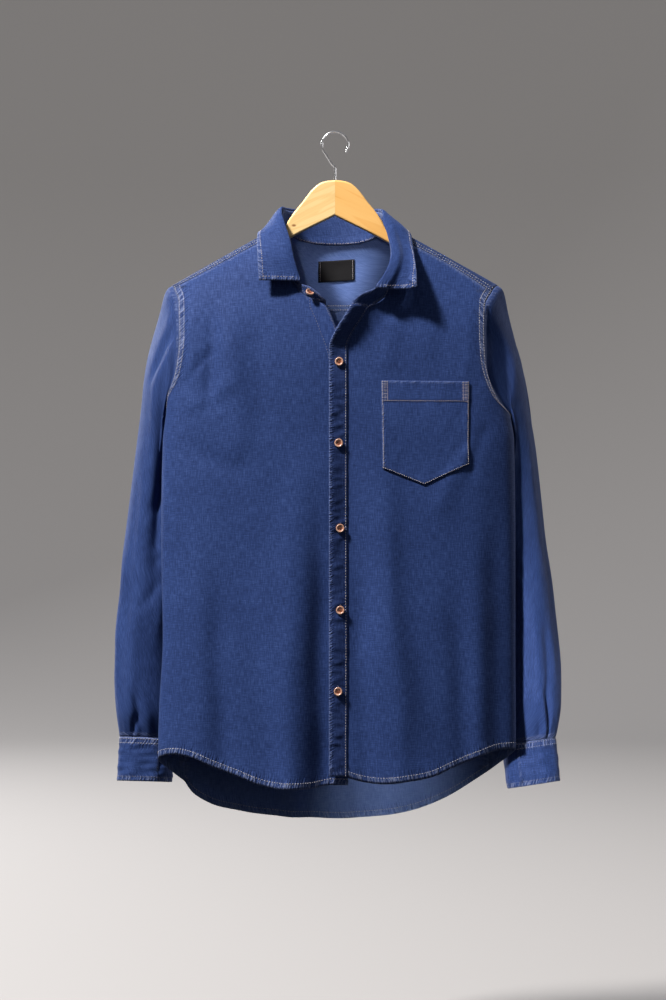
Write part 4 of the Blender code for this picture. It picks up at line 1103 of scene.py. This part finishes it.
def thread_finish(name, dark, light):
    s = Shader(name)
    at = s.here()
    mixed = s.noise(at, scale=300)
    fibre = s.noise(s.scaled(at, (900, 900, 2600)))
    return s.finish(s.ramp(mixed, ((0.35, dark), (0.65, light))), 0.62, s.bump(fibre, 0.0001, 0.6),
                    Sheen_Weight=0.2)


def wood(name, side, pale, middle, deep):
    """Pine with its grain along the arm and a small knot."""
    s = Shader(name)
    at = s.here()
    turned = s.scaled(at, (1, 1, 1), (0, -side * math.radians(27), 0))
    long = s.scaled(turned, (3.5, 30, 46))
    wander = s.noise(long, detail=3, distortion=0.5)
    rings = s.math("SINE", s.times(wander, 26))
    fibre = s.noise(s.scaled(turned, (24, 900, 900)), detail=3)
    tone = s.plus(s.times(s.mapped(rings, 0.1, 1.0), 0.15), s.times(s.noise(long, scale=0.5), 0.5))
    tone = s.plus(tone, s.times(fibre, 0.22))
    colour = s.ramp(tone, ((0.25, pale), (0.5, middle), (0.8, deep)))
    knot = s.vector_math("DISTANCE", s.scaled(at, (1, 0.1, 1.7)), (-0.0545, 0, -0.1235 * 1.7))
    dark_spot = s.plus(knot, s.times(wander, 0.003))
    colour = s.mix(s.mapped(dark_spot, 0.0058, 0.0030), colour, (0.30, 0.12, 0.035))
    return s.finish(colour, s.mapped(fibre, 0.3, 0.7, 0.36, 0.48), s.bump(fibre, 0.00012, 0.5),
                    Coat_Weight=0.25, Coat_Roughness=0.25)


def horn(name):
    """Tan horn with a darker rim and a dark brown hollow, darkened partly as painted shade."""
    s = Shader(name)
    at = s.here()
    swirl = s.noise(s.scaled(at, (160, 160, 60)), detail=3, distortion=1.2)
    x, y, _ = s.split(at)
    radius = s.math("SQRT", s.plus(s.times(x, x), s.times(y, y)))
    colour = s.ramp(swirl, ((0.3, (0.34, 0.16, 0.10)), (0.55, (0.52, 0.30, 0.21)),
                            (0.75, (0.72, 0.50, 0.39))))
    # the hollow is painted dark brown: the horn's own brown, darkened further as painted shade in the dish
    middle = s.mapped(radius, 0.0040, 0.0030)
    colour = s.mix(s.times(middle, 0.85), colour, (0.24, 0.062, 0.022))
    colour = s.mix(s.times(s.mapped(radius, 0.0051, 0.0056), 0.85), colour, (0.13, 0.055, 0.035))
    return s.finish(colour, 0.3, s.bump(swirl, 0.00006, 0.4), Coat_Weight=0.35, Coat_Roughness=0.12)


def steel(name):
    s = Shader(name)
    marks = s.noise(s.scaled(s.here(), (300, 300, 1500)), detail=3)
    return s.finish((0.62, 0.62, 0.63), s.mapped(marks, 0.3, 0.7, 0.16, 0.30),
                    s.bump(marks, 0.00004, 0.4), Metallic=1.0)


def label_cloth(name):
    s = Shader(name)
    mm = s.scaled(s.add("ShaderNodeUVMap", uv_map="cloth_uv").outputs[0], (1000, 1000, 1000))
    ribs = s.math("SINE", s.vector_math("DOT_PRODUCT", mm, (0.0, 12.0, 0)))
    fleck = s.noise(mm, scale=1.6, detail=3)
    colour = s.ramp(fleck, ((0.3, (0.004, 0.004, 0.005)), (0.7, (0.013, 0.012, 0.014))))
    return s.finish(colour, 0.7, s.bump(ribs, 0.0001, 0.5), Specular_IOR_Level=0.2)


DENIM = denim("denim_face", (0.0085, 0.020, 0.078), (0.0165, 0.0365, 0.129), (0.034, 0.065, 0.200),
              (0.165, 0.200, 0.345))
# a darker denim for the placket: partly its doubled, less faded cloth, partly painted shade for a band that
# faces away from the light
DENIM_BAND_UNFADED_AND_SHADED = denim("denim_band_unfaded_and_shaded", (0.0065, 0.0145, 0.060), (0.0125, 0.0265, 0.096), (0.027, 0.050, 0.150),
                   (0.100, 0.135, 0.270), slant=0.6, pitch=0.50, edge_wear_and_highlight=0.95)
# a darker copy of the face denim for the yoke: painted shade for the weaker light on the shoulders
DENIM_YOKE_SHADED = denim("denim_yoke_shaded", (0.0056, 0.0128, 0.050), (0.0105, 0.0234, 0.083), (0.022, 0.042, 0.130),
                   (0.108, 0.132, 0.232))
DENIM_WRONG = denim("denim_wrong_side", (0.056, 0.098, 0.255), (0.088, 0.142, 0.345), (0.130, 0.195, 0.440),
                    (0.19, 0.25, 0.46))
CREAM_THREAD = thread_finish("topstitch_thread", (0.30, 0.28, 0.31), (0.58, 0.54, 0.56))
TAN_THREAD = thread_finish("tan_thread", (0.33, 0.275, 0.265), (0.60, 0.52, 0.48))
# a dark navy thread: tone-on-tone stitching, and painted shade where rows that lie in shade are drawn in it
# instead of the pale thread
NAVY_THREAD_AND_SHADE = thread_finish("navy_thread_and_shade", (0.055, 0.06, 0.12), (0.13, 0.13, 0.20))
COLLAR_THREAD = thread_finish("collar_thread", (0.25, 0.20, 0.22), (0.52, 0.46, 0.47))
BROWN_THREAD = thread_finish("button_thread", (0.13, 0.030, 0.012), (0.30, 0.085, 0.035))
HORN = horn("horn_button")
STEEL = steel("hook_steel")
LABEL = label_cloth("label_weave")
WOODS = {
    -1: wood("pine_right", -1, (0.90, 0.66, 0.32), (0.84, 0.56, 0.23), (0.66, 0.37, 0.11)),
    1: wood("pine_left", 1, (0.86, 0.50, 0.165), (0.79, 0.41, 0.11), (0.60, 0.27, 0.06)),
}

THREADS = {
    "shirt": Thread("stitching_body", CREAM_THREAD), "sleeve": Thread("stitching_sleeves", CREAM_THREAD),
    "collar": Thread("stitching_collar", COLLAR_THREAD), "inside": Thread("stitching_inside", CREAM_THREAD),
    "pocket": Thread("stitching_pocket", TAN_THREAD), "navy_and_shade": Thread("stitching_dim", NAVY_THREAD_AND_SHADE),
    "button": Thread("button_stitches", BROWN_THREAD), "hole": Thread("buttonhole_stitches", NAVY_THREAD_AND_SHADE),
}


def sewn(thread, grid, edge, distance, turned=False, inside=0.0, start=0.0, end=1.0, **kind):
    """A row of stitches at a distance inside one edge, from a start to an end share of it."""
    ups = from_edge(outward(grid, turned), edge)[2]
    line = inset(grid, edge, distance)
    part = slice(int(start * (len(line) - 1)), int(end * (len(line) - 1)) + 1)
    line, ups = line[part], ups[part]
    if inside:
        line, ups = line - ups * inside, -ups
    THREADS[thread].row(line, ups, **kind)


# ---- fronts, back and yoke -------------------------------------------------------------------
def make_front(side, node):
    grid = front_grid(side)
    turned = side < 0
    armhole = 1.3 - 0.6 * ease(np.arange(len(grid)), ROWS_ARMHOLE_FRONT - 6, ROWS_ARMHOLE_FRONT + 4)
    marks = {"bottom": (1.1, 8), "top": (0.35, 5), "last": (armhole[:, None], 9)}
    if side < 0:
        marks["first"] = (0.4, 3)
    laid = np.stack([place_of(grid[..., 0], grid[..., 2], -1) * 262, grid[..., 2]], axis=-1)
    cloth(node, grid, turned=turned, marks=marks, laid=laid)
    sewn("shirt", grid, "bottom", HEM_STITCH, turned)
    for distance in ARMHOLE_STITCHES:
        sewn("shirt", grid, "last", distance, turned, end=(ROWS_ARMHOLE_FRONT - 3) / (len(grid) - 1))
    if side < 0:
        sewn("navy_and_shade", grid, "first", 22.5, turned)
        sewn("navy_and_shade", grid, "first", 1.8, turned, end=0.3)
    return grid


def make_back():
    grid = back_grid()
    laid = np.stack([grid[..., 0] * 1.12, grid[..., 2]], axis=-1)
    marks = {"bottom": (1.0, 8), "top": (0.35, 5), "first": (0.8, 9), "last": (0.8, 9)}
    cloth("back", grid, turned=True, laid=laid, marks=marks)
    sewn("shirt", grid, "bottom", HEM_STITCH, True)
    for edge in ("first", "last"):
        for distance in ARMHOLE_STITCHES:
            sewn("shirt", grid, edge, distance, True)
    sewn("inside", grid, "bottom", HEM_STITCH, True, inside=CLOTH)


def make_yoke():
    grid = yoke_grid()
    count = grid.shape[1] - 1
    column = np.minimum(np.arange(count + 1), count - np.arange(count + 1))
    shoulder = 0.5 - 0.5 * ease(column, COLUMNS_SHOULDER - 4, COLUMNS_SHOULDER + 3)
    marks = {"top": (0.7, 8), "bottom": (shoulder, 8), "first": (0.3, 5), "last": (0.3, 5)}
    # the yoke is drawn in the darker denim, which paints shade on the shoulders
    cloth("yoke", grid, finishes=(DENIM_YOKE_SHADED, DENIM_WRONG), marks=marks)
    for distance in YOKE_STITCHES:
        sewn("shirt", grid, "top", distance)
        sewn("inside", grid, "top", distance, inside=CLOTH, radius=0.62, lift=0.4, pitch=3.2, length=2.5)
        sewn("shirt", grid, "bottom", distance, end=(COLUMNS_SHOULDER - 1) / count)
        sewn("shirt", grid, "bottom", distance, start=(count - COLUMNS_SHOULDER + 1) / count)


# ---- sleeves and cuffs -----------------------------------------------------------------------
def round_sleeve(turn, centre):
    """Cloth round the sleeve from a centre, both as angles in degrees."""
    return ((turn - centre + 180) % 360 - 180) * SLEEVE_ARC


def sleeve_folds(side, turn, z):
    """Height of the creases, the pleats at the cuff and its gathers."""
    lift = np.zeros_like(z)
    for number, (a0, z0, a1, z1, width, height, lean) in enumerate(SLEEVE_FOLDS[side]):
        centre = a0 + (a1 - a0) * np.clip((z - z0) / (z1 - z0), 0, 1)
        off = round_sleeve(turn, centre) + 2.5 * waver(z, z * 0, 300 + number, 130)
        slope = math.hypot((a1 - a0) * SLEEVE_ARC, z1 - z0) / abs(z1 - z0)
        reach = (z0 - z) / (z0 - z1)
        fade = ease(reach, 0, 0.3) * (1 - ease(reach, 0.7, 1.0))
        lift += height * fade * ridge_profile(off / slope, width, lean)
    lift += 0.9 * waver(turn * SLEEVE_ARC, z * 0.6, 77 + side, 70) * ease(-z, 240, 330)
    for a_low, a_high, length, depth in PLEATS[side]:
        rise = np.clip((z - CUFF_SEAM_Z) / length, 0, 1)
        off = round_sleeve(turn, a_low + (a_high - a_low) * rise)
        seam = -CUFF_SEAM_Z
        fade = (1 - ease(rise, 0.35, 1.0)) * ease(-z, seam - length * 1.05, seam - length * 0.6)
        lift -= depth * fade * np.exp(-((off / (2.6 + 5 * rise)) ** 2))
        lift += 0.45 * depth * fade * np.exp(-(((off - 8) / 6.5) ** 2))
    gather = ease(z, CUFF_SEAM_Z + 46, CUFF_SEAM_Z + 4)
    ripple = np.sin(turn * SLEEVE_ARC / 9 * math.pi + 2 * waver(turn, z * 0, 5, 60))
    return lift + 0.35 * gather * ripple


def eased_underarm(rings, turn):
    """Rings smoothed where the sleeve meets the side of the body."""
    under = (1 - ease(np.abs(turn - 180), 58, 92)) * (1 - ease(np.arange(len(rings)), 34, 60))[:, None]
    under[0] = 0
    for _ in range(60):
        middle = rings.copy()
        middle[1:-1] = (rings[:-2] + rings[2:]) / 4 + rings[1:-1] / 2
        middle[:, 1:-1] = (middle[:, :-2] + middle[:, 2:]) / 4 + middle[:, 1:-1] / 2
        middle[:, [0, -1]] = (middle[:, 1:2] + middle[:, -2:-1]) / 2
        rings = rings + (middle - rings) * under[..., None]
    return rings


def make_sleeve(side, node):
    rings, angle = sleeve_rings(side)
    rings = np.roll(rings, -ROWS_ARMHOLE_FRONT, axis=1)
    angle = np.roll(angle, -ROWS_ARMHOLE_FRONT)
    rings = np.concatenate([rings, rings[:, :1]], axis=1)
    facing = outward(rings, side > 0, ring=True)
    z = rings[..., 2]
    turn = np.broadcast_to(np.degrees(np.r_[angle, angle[0]]) % 360, z.shape)
    down, up = edge_runs(rings)[:2]
    lift = sleeve_folds(side, turn, z) * np.minimum(1, down / 26) * np.minimum(1, (up + 1.0) / 9)
    head = np.clip(np.cos(np.radians(turn)), 0, 1) ** 0.7
    lift += 4.2 * head * (down / 13) * np.exp(1 - down / 13) * ease(down, 0, 4)
    if side < 0:
        forward = ease(turn, 8, 45) * (1 - ease(turn, 85, 128))
        lift -= 3.2 * forward * np.exp(-(((down - 12) / 6) ** 2)) * ease(down, 0, 5)
    near_body = (turn > 120) & (turn < 240)
    lift = np.where(near_body, np.minimum(lift, 2.2), lift)
    rings = rings + facing * lift[..., None]
    if side > 0:
        forward = ease(turn, 14, 50) * (1 - ease(turn, 104, 140))
        rings[..., 1] += 21.0 * forward * ease(down, 0, 6) * (1 - ease(down, 18, 78))
    rings = eased_underarm(rings, turn)
    marks = {"top": (0.45, 6), "bottom": (0.7, 6), "first": (0.6, 8), "last": (0.6, 8)}
    made = cloth(node, rings, turned=side > 0, ring=True, marks=marks)
    for face in made.data.polygons:
        if face.center[2] > -0.47:      # the pale wrong side isn't seen up the sleeve's head
            face.material_index = 0
    for distance in SLEEVE_STITCHES:
        sewn("sleeve", rings, "first", distance, side > 0)


def make_cuff(side, node):
    grid = cuff_grid(side)
    down, up, across, _ = edge_runs(grid)
    wrinkles = 0.5 * waver(across, down, 60 + side, 34) + 0.7 * waver(across * 0.3, down, 64 + side, 17)
    grid = grid + outward(grid, side > 0) * (wrinkles * np.minimum(1, up / 8 + 0.3))[..., None]
    cloth(node, grid, wall=BAND, turned=side > 0,
          marks={"top": (1.0, 8.5), "bottom": (0.9, 6.5), "last": (0.3, 3)})
    for distance in YOKE_STITCHES:
        sewn("sleeve", grid, "top", distance, side > 0)
    sewn("navy_and_shade", grid, "bottom", 6.2, side > 0)


# ---- collar ----------------------------------------------------------------------------------
def make_stand():
    grid = stand_grid()
    cloth("collar_stand", grid, wall=BAND, finishes=(DENIM, DENIM), marks=dict.fromkeys(EDGES, (0.5, 4)))
    # the stand's rows are drawn in the navy thread: partly tone-on-tone, partly painted shade where the stand
    # lies under the collar
    sewn("navy_and_shade", grid, "top", 2.0)
    sewn("navy_and_shade", grid, "bottom", 2.0, end=0.86)
    sewn("collar", grid, "top", 2.0, inside=BAND, start=0.16, end=0.84, radius=0.26)
    return grid


def make_fall():
    grid = fall_grid()
    down, up, across, back = edge_runs(grid)
    loose = np.minimum(1, down / 30) * np.minimum(1, up / 3 + 0.4)
    ridge = 0.35 * np.exp(-((np.minimum(np.minimum(up, across), back) - 3.2) / 2.2) ** 2)
    grid = grid + outward(grid, True) * (0.55 * waver(across, down, 91, 60) * loose + ridge)[..., None]
    cloth("collar_fall", grid, wall=BAND, turned=True, finishes=(DENIM, DENIM),
          marks={"bottom": (0.8, 6), "first": (0.8, 6), "last": (0.8, 6)})
    sewn("collar", grid, "bottom", 5.6, True)
    for edge in ("first", "last"):
        sewn("collar", grid, edge, 5.4, True, start=0.24)


# ---- what lies on the panels -----------------------------------------------------------------
def make_placket(over_front):
    """The placket, laid on the over front's own points."""
    grid = resampled(resampled(over_front[:, :COLUMNS_PLACKET + 1], 16, 1), 330, 0)
    across = edge_runs(grid)[2]
    z = grid[..., 2]
    puckers = waver(z, across * 0.35, 31, 16) + 0.8 * waver(z, across * 0.5, 32, 9)
    puckers = np.maximum(0.8 * puckers * (0.7 + 0.4 * waver(z, across * 0, 35, 70)), -0.35)
    sag = np.sin(math.pi * np.clip(across / PLACKET_WIDTH, 0, 1))
    grid = grid + toward(outward(grid), -1) * (LAY + BAND + puckers * (0.25 + 0.75 * sag))[..., None]
    # the placket's darker denim is partly painted shade
    cloth("placket", grid, wall=BAND, finishes=(DENIM_BAND_UNFADED_AND_SHADED, DENIM_BAND_UNFADED_AND_SHADED),
          # the strong pale line along the placket's free edge is partly a painted highlight
          marks={"first": (0.9, 3.4), "last": (0.6, 3), "bottom": (0.6, 6)})
    # the placket's row is navy at its top, painting the shade under the collar, and tan below
    sewn("navy_and_shade", grid, "last", 2.6, end=0.085)
    sewn("pocket", grid, "last", 2.6, radius=0.3, start=0.085)


def make_pocket():
    """The pocket with its deep hem and stitched corners."""
    top_left, top_right, right, point, left = (np.array(p, float) for p in POCKET_OUTLINE)
    u = np.linspace(0, 1, 61)
    top = np.outer(1 - u, top_left) + np.outer(u, top_right)
    bottom = np.where(u[:, None] < 0.5, left + (point - left) * 2 * u[:, None],
                      point + (right - point) * (2 * u[:, None] - 1))
    grid = on(np.array([top + (bottom - top) * v for v in np.linspace(0, 1, 71)]), front_at)
    grid[..., 1] -= over_lift(grid)
    down, up, across, back = edge_runs(grid)
    thick = 0.75 * (1 - ease(down, POCKET_HEM - 1.0, POCKET_HEM + 1.0))
    thick += 0.35 * (1 - ease(np.minimum(np.minimum(up, across), back), 5, 9))
    belly = 1.3 * np.sin(math.pi * u)[None] * ease(down, 0, 50) * (1 - ease(down, 60, 110))
    out = LAY + CLOTH + thick + belly + 0.25 * waver(across, down, 44, 30)
    grid = grid + toward(outward(grid), -1) * out[..., None]
    marks = {"top": (0.4, 3), "bottom": (0.7, 2.6), "first": (0.8, 2.6), "last": (0.7, 2.6)}
    cloth("pocket", grid, marks)
    for edge in ("first", "last", "bottom"):
        sewn("pocket", grid, edge, 1.6, pitch=2.9, length=1.9)
    sewn("pocket", grid, "top", POCKET_HEM, pitch=2.9, length=1.9, radius=0.32)
    hem_end = POCKET_HEM / POCKET_DEPTH
    for edge in ("first", "last"):
        sewn("pocket", grid, edge, 8.0, end=hem_end, pitch=2.6, length=1.9)
        sewn("pocket", grid, edge, 4.8, end=hem_end, pitch=2.6, length=1.7, radius=0.3)
    for start, end in ((0.015, 0.075), (0.925, 0.985)):
        for level in (1.4, 4.6, 8.4, 12.6, 17.2, 21.6):
            sewn("pocket", grid, "top", level, start=start, end=end, pitch=2.4, length=1.6, radius=0.28)


def make_label():
    """The bare neck label, inside the yoke."""
    (cx, cz), (width, height) = LABEL_CENTRE, LABEL_SIZE
    x = np.linspace(cx - width / 2, cx + width / 2, 41)
    grid = np.array([over_shoulder(to_shoulder(x, np.full(41, z), 1))
                     for z in np.linspace(cz + height / 2, cz - height / 2, 25)])
    grid[..., 2] += 1.4 + 0.06 * (grid[..., 0] - cx)
    bulge = 0.5 * np.cos(np.linspace(-1, 1, 41)[None] * math.pi * 0.5)
    bulge = CLOTH + 2 * LAY + 1.0 + bulge + 0.18 * waver(grid[..., 0], grid[..., 2], 8, 22)
    grid = grid + toward(outward(grid), -1) * bulge[..., None]
    cloth("neck_label", grid, marks={}, wall=1.0, finishes=(LABEL, LABEL))
    facing = outward(grid)
    for column in (2, -3):
        THREADS["inside"].row(grid[1:-1, column], facing[1:-1, column], pitch=2.6, length=1.9, radius=0.28)


# ---- buttons ---------------------------------------------------------------------------------
def button_mesh(steps=48):
    """A four-hole button, turned with a rim and a sunken middle."""
    r, t = BUTTON_DIAMETER / 2, BUTTON_THICKNESS
    profile = ((0.0, 0.0), (r - 1.8, 0.0), (r - 0.8, 0.25), (r - 0.15, 0.9), (r, 1.5), (r - 0.08, t - 0.9),
               (r - 0.4, t - 0.3), (r - 0.85, t - 0.03), (r - 1.2, t), (r - 1.6, t - 0.12),
               (r - 2.0, t - 0.55), (r - 2.4, t - 1.1), (r - 2.8, t - 1.4), (r - 3.6, t - 1.5),
               (0.0, t - 1.5))
    edit = bmesh.new()
    rings = []
    for radius, level in profile:
        turns = [2 * math.pi * k / steps for k in range(steps if radius else 1)]
        rings.append([edit.verts.new((radius * MM * math.cos(turn), radius * MM * math.sin(turn), level * MM))
                      for turn in turns])
    for low, high in zip(rings, rings[1:]):
        for k in range(steps):
            pairs = [(ring[k % len(ring)], ring[(k + 1) % steps % len(ring)]) for ring in (low, high)]
            edit.faces.new(tuple(dict.fromkeys(pairs[0] + pairs[1][::-1])))
    drill = bmesh.new()
    for k in range(4):
        angle = math.pi / 4 + k * math.pi / 2
        spot = Matrix.Translation((1.35 * MM * math.cos(angle), 1.35 * MM * math.sin(angle), 1.2 * MM))
        bmesh.ops.create_cone(drill, cap_ends=True, segments=16, radius1=0.72 * MM, radius2=0.72 * MM,
                              depth=6 * MM, matrix=spot)
    blanks = []
    for name, form in (("button", edit), ("button_holes", drill)):
        mesh = bpy.data.meshes.new(name)
        form.to_mesh(mesh)
        form.free()
        blanks.append(bpy.data.objects.new(name, mesh))
        bpy.context.scene.collection.objects.link(blanks[-1])
    solid, cutter = blanks
    cut = solid.modifiers.new("holes", "BOOLEAN")
    cut.object = cutter
    cut.operation = "DIFFERENCE"
    bpy.context.view_layer.update()
    done = bpy.data.meshes.new_from_object(solid.evaluated_get(bpy.context.evaluated_depsgraph_get()))
    for blank in blanks:
        bpy.data.objects.remove(blank)
    done.shade_smooth()
    done.set_sharp_from_angle(angle=math.radians(40))
    done.materials.clear()
    done.materials.append(HORN)
    return done


def front_normal(x, z):
    step = 3.0
    p = front_at([(x - step, z), (x + step, z), (x, z - step), (x, z + step)])
    return toward(unit(np.cross(p[1] - p[0], p[3] - p[2])), -1)


def set_button(mesh, node, spot, facing, spin):
    """A button with the two pairs of threads that cross its hollow."""
    turn = Vector(facing).to_track_quat("Z", "Y").to_matrix().to_4x4() @ Matrix.Rotation(spin, 4, "Z")
    add_piece(node + "_horn", mesh, node, Matrix.Translation(Vector(spot * MM)) @ turn)
    across, up = (np.array(turn.col[axis][:3]) for axis in (0, 1))
    top = spot + facing * (BUTTON_THICKNESS - 1.45)
    for shift in (-0.95, 0.95):
        for lane in (-0.22, 0.22):
            middle = top + up * (shift + lane)
            line = np.array([middle - across * 1.15, middle, middle + across * 1.15])
            THREADS["button"].row(line, facing, pitch=2.3, length=2.25, radius=0.26, lift=0.1, sides=6)


def make_buttons(stand):
    mesh = button_mesh()
    for number, (x, z) in enumerate(zip(BUTTON_X, BUTTON_Z), start=1):
        spot = front_at([(x, z)])[0]
        spot[1] -= over_lift(spot[None])[0] + 2 * LAY + BAND + 0.35
        facing = front_normal(x, z)
        set_button(mesh, f"button_{number}", spot, facing, 0.3 * number)
        for shift in (-0.7, 0.7):
            line = np.array([spot + (shift, 0.25, level) for level in np.linspace(-7.4, 7.4, 9)])
            THREADS["hole"].row(line, facing, pitch=0.95, length=0.85, radius=0.34, lift=0.05, sides=4)
    middle_row, column = 7, COLUMNS_PLACKET - 1
    sewn_on = outward(stand)[middle_row, column]
    facing = unit(0.15 * sewn_on + np.array([0.40, -0.55, 0.72]))
    set_button(mesh, "button_collar", stand[middle_row, column] + sewn_on * 2.6, facing, 0.4)


# ---- hanger and hook -------------------------------------------------------------------------
def hanger_half(side, node):
    """One half of the hanger, with every edge rounded but those at the glued joint."""
    arm = tuple((x, float(ridge_z(x)) - HANGER_CLEAR) for x in HANGER_ARM)
    upper = through(HANGER_TOP + arm, 70)
    lower = np.array(HANGER_BOTTOM, float)
    nose = through(np.vstack([upper[-1:], lower[:3]]), 12)[1:-1]
    outline = np.vstack([upper, nose, through(lower[2:], 60)])
    outline[:, 0] = side * np.maximum(outline[:, 0], HANGER_JOINT)
    outline = outline[np.r_[True, np.linalg.norm(np.diff(outline, axis=0), axis=1) > 0.4]]
    count = len(outline)
    half = HANGER_THICKNESS / 2
    points = np.array([(x, y, z) for y in (-half, half) for x, z in outline]) * MM
    faces = [list(range(count)), list(range(count, 2 * count))[::-1]]
    faces += [[(k + 1) % count, k, k + count, (k + 1) % count + count] for k in range(count)]
    mesh = bpy.data.meshes.new(node + "_wood")
    mesh.from_pydata(points.tolist(), [], [face[::-side] for face in faces])
    weights = mesh.attributes.new("bevel_weight_edge", "FLOAT", "EDGE")
    for edge in mesh.edges:
        start, end = points[list(edge.vertices)]
        if start[1] == end[1] and abs(start[0] + end[0]) / 2 > 0.3 * MM:
            weights.data[edge.index].value = 1.0
    mesh.shade_smooth()
    mesh.set_sharp_from_angle(angle=math.radians(40))
    mesh.materials.append(WOODS[side])
    rounded = add_piece(mesh.name, mesh, node).modifiers.new("rounded", "BEVEL")
    rounded.width = HANGER_EDGE * MM
    rounded.segments = 4
    rounded.limit_method = "WEIGHT"


def make_hook():
    middle = HOOK_WIRE / 2 - HOOK_RADIUS
    path = [(0, HOOK_SHANK_FOOT), (0, HOOK_SHANK_TOP - 8), (0, HOOK_SHANK_TOP), (-4.5, HOOK_SHANK_TOP + 6)]
    path += [(HOOK_RADIUS * math.cos(turn), middle + HOOK_RADIUS * math.sin(turn))
             for turn in np.radians(np.linspace(222, -35, 18))]
    path = through(path, 110)
    curve = bpy.data.curves.new("hook_wire", "CURVE")
    curve.dimensions = "3D"
    curve.bevel_depth = HOOK_WIRE / 2 * MM
    curve.bevel_resolution = 5
    curve.use_fill_caps = True
    spline = curve.splines.new("POLY")
    spline.points.add(len(path) - 1)
    for point, (x, z) in zip(spline.points, path):
        point.co = (x * MM, 0, z * MM, 1)
    spline.use_smooth = True
    curve.materials.append(STEEL)
    add_piece("hook_wire", curve, "hook")


make_front(-1, "front_right")
over_front = make_front(1, "front_left")
make_back()
make_yoke()
for side, hand in ((-1, "right"), (1, "left")):
    make_sleeve(side, "sleeve_" + hand)
    make_cuff(side, "cuff_" + hand)
stand = make_stand()
make_fall()
make_placket(over_front)
make_pocket()
make_label()
make_buttons(stand)
for thread in THREADS.values():
    thread.make()
hanger_half(-1, "hanger_right")
hanger_half(1, "hanger_left")
make_hook()

# ---- floor, light and camera, in metres --------------------------------------------------------
FLOOR_Z = -1.28
FLOOR_RADIUS = 4.6
BEND_RADIUS = 2.2
WALL_TOP = 5.2
PAPER = (0.31, 0.296, 0.291)
LIGHTS = (      # name, spot, aim, width and height, power, colour, spread in degrees, lit pieces
    ("key", (-2.75, -2.3, 3.75), (0, 0, -0.45), 0.7, 0.7, 715, (1.0, 0.98, 0.95), 180, ()),
    ("fill", (2.3, -2.4, -0.1), (0, 0, -0.55), 1.6, 1.8, 2.2, (0.92, 0.95, 1.0), 180, ()),
    ("back", (-2.7, 3.3, 1.4), (0, 0, -0.45), 0.9, 0.9, 220, (1.0, 1.0, 1.0), 180, ()),
    ("flank", (3.4, 1.6, 0.5), (0, 0, -0.5), 1.2, 1.2, 36, (1.0, 1.0, 1.0), 180, ()),
    ("side", (-1.1, -3.2, 0.2), (0.27, 0, -0.73), 0.3, 0.3, 1.7, (1.0, 0.97, 0.94), 12.5,
     ("sleeve_left_cloth", "cuff_left_cloth")),
    ("low", (-0.35, -0.95, -1.22), (0.075, 0.045, -0.885), 0.05, 0.05, 0.03, (1.0, 0.97, 0.92), 11,
     ("back_cloth",)),
    ("neck", (-0.25, -2.5, -0.1), (0.0, 0.05, -0.215), 0.1, 0.1, 0.05, (1.0, 0.98, 0.96), 9,
     ("yoke_cloth", "back_cloth", "stitching_inside")),
)
SKY_COLOUR = (0.86, 0.90, 1.0)
SKY_STRENGTH = (0.012, 0.29)    # from below the horizon to high above it
CAMERA_SPOT = (-0.0027, -3.065, -0.4875)
SENSOR = 36
FRAME_HEIGHT = 1.3              # what the frame holds at FRAME_DISTANCE
FRAME_DISTANCE = 3.0


def make_bowl(steps=96):
    """A plain round floor that bends up into a wall."""
    path = [(FLOOR_RADIUS, FLOOR_Z)]
    path += [(FLOOR_RADIUS + BEND_RADIUS * math.sin(a), FLOOR_Z + BEND_RADIUS * (1 - math.cos(a)))
             for a in np.linspace(0.08, math.pi / 2, 24)]
    path += [(FLOOR_RADIUS + BEND_RADIUS, WALL_TOP)]
    verts = [(r * math.cos(2 * math.pi * k / steps), r * math.sin(2 * math.pi * k / steps), z)
             for r, z in path for k in range(steps)]
    faces = [(low + k, low + (k + 1) % steps, low + steps + (k + 1) % steps, low + steps + k)
             for low in range(0, (len(path) - 1) * steps, steps) for k in range(steps)]
    faces.append(tuple(range(steps))[::-1])
    mesh = bpy.data.meshes.new("studio_bowl")
    mesh.from_pydata(verts, [], faces)
    mesh.shade_smooth()
    mesh.materials.append(Shader("studio_paper").finish(PAPER, 0.9))
    bowl = bpy.data.objects.new("studio_bowl", mesh)
    bpy.context.scene.collection.objects.link(bowl)
    bowl.visible_diffuse = False
    bowl.visible_shadow = False


def make_world():
    world = bpy.data.worlds.new("studio")
    bpy.context.scene.world = world
    world.use_nodes = True
    sky = Nodes(world.node_tree)
    background = sky.tree.nodes["Background"]
    sky.value(background, 0, SKY_COLOUR)
    up = sky.split(sky.add("ShaderNodeTexCoord").outputs["Generated"])[2]
    sky.value(background, 1, sky.mapped(up, -0.25, 0.8, *SKY_STRENGTH, kind="LINEAR"))


def softbox(name, spot, aim, wide, high, power, colour, spread, lit):
    light = bpy.data.lights.new(name, "AREA")
    light.shape = "RECTANGLE"
    light.size, light.size_y = wide, high
    light.energy = power
    light.color = colour
    light.spread = math.radians(spread)
    made = bpy.data.objects.new(name, light)
    bpy.context.scene.collection.objects.link(made)
    made.visible_camera = False
    made.location = spot
    made.rotation_euler = (Vector(aim) - Vector(spot)).to_track_quat("-Z", "Y").to_euler()
    if lit:
        pieces = bpy.data.collections.new(name + "_light_pieces")
        for piece in lit:
            pieces.objects.link(bpy.data.objects[piece])
        made.light_linking.receiver_collection = pieces


def make_camera():
    camera = bpy.data.cameras.new("camera")
    camera.sensor_fit = "VERTICAL"
    camera.sensor_height = SENSOR
    camera.lens = SENSOR * FRAME_DISTANCE / FRAME_HEIGHT
    view = bpy.data.objects.new("camera", camera)
    bpy.context.scene.collection.objects.link(view)
    view.location = CAMERA_SPOT
    view.rotation_euler = (math.pi / 2, 0, 0)
    bpy.context.scene.camera = view


make_bowl()
make_world()
for light in LIGHTS:
    softbox(*light)
make_camera()
bpy.context.scene.view_settings.view_transform = "Standard"
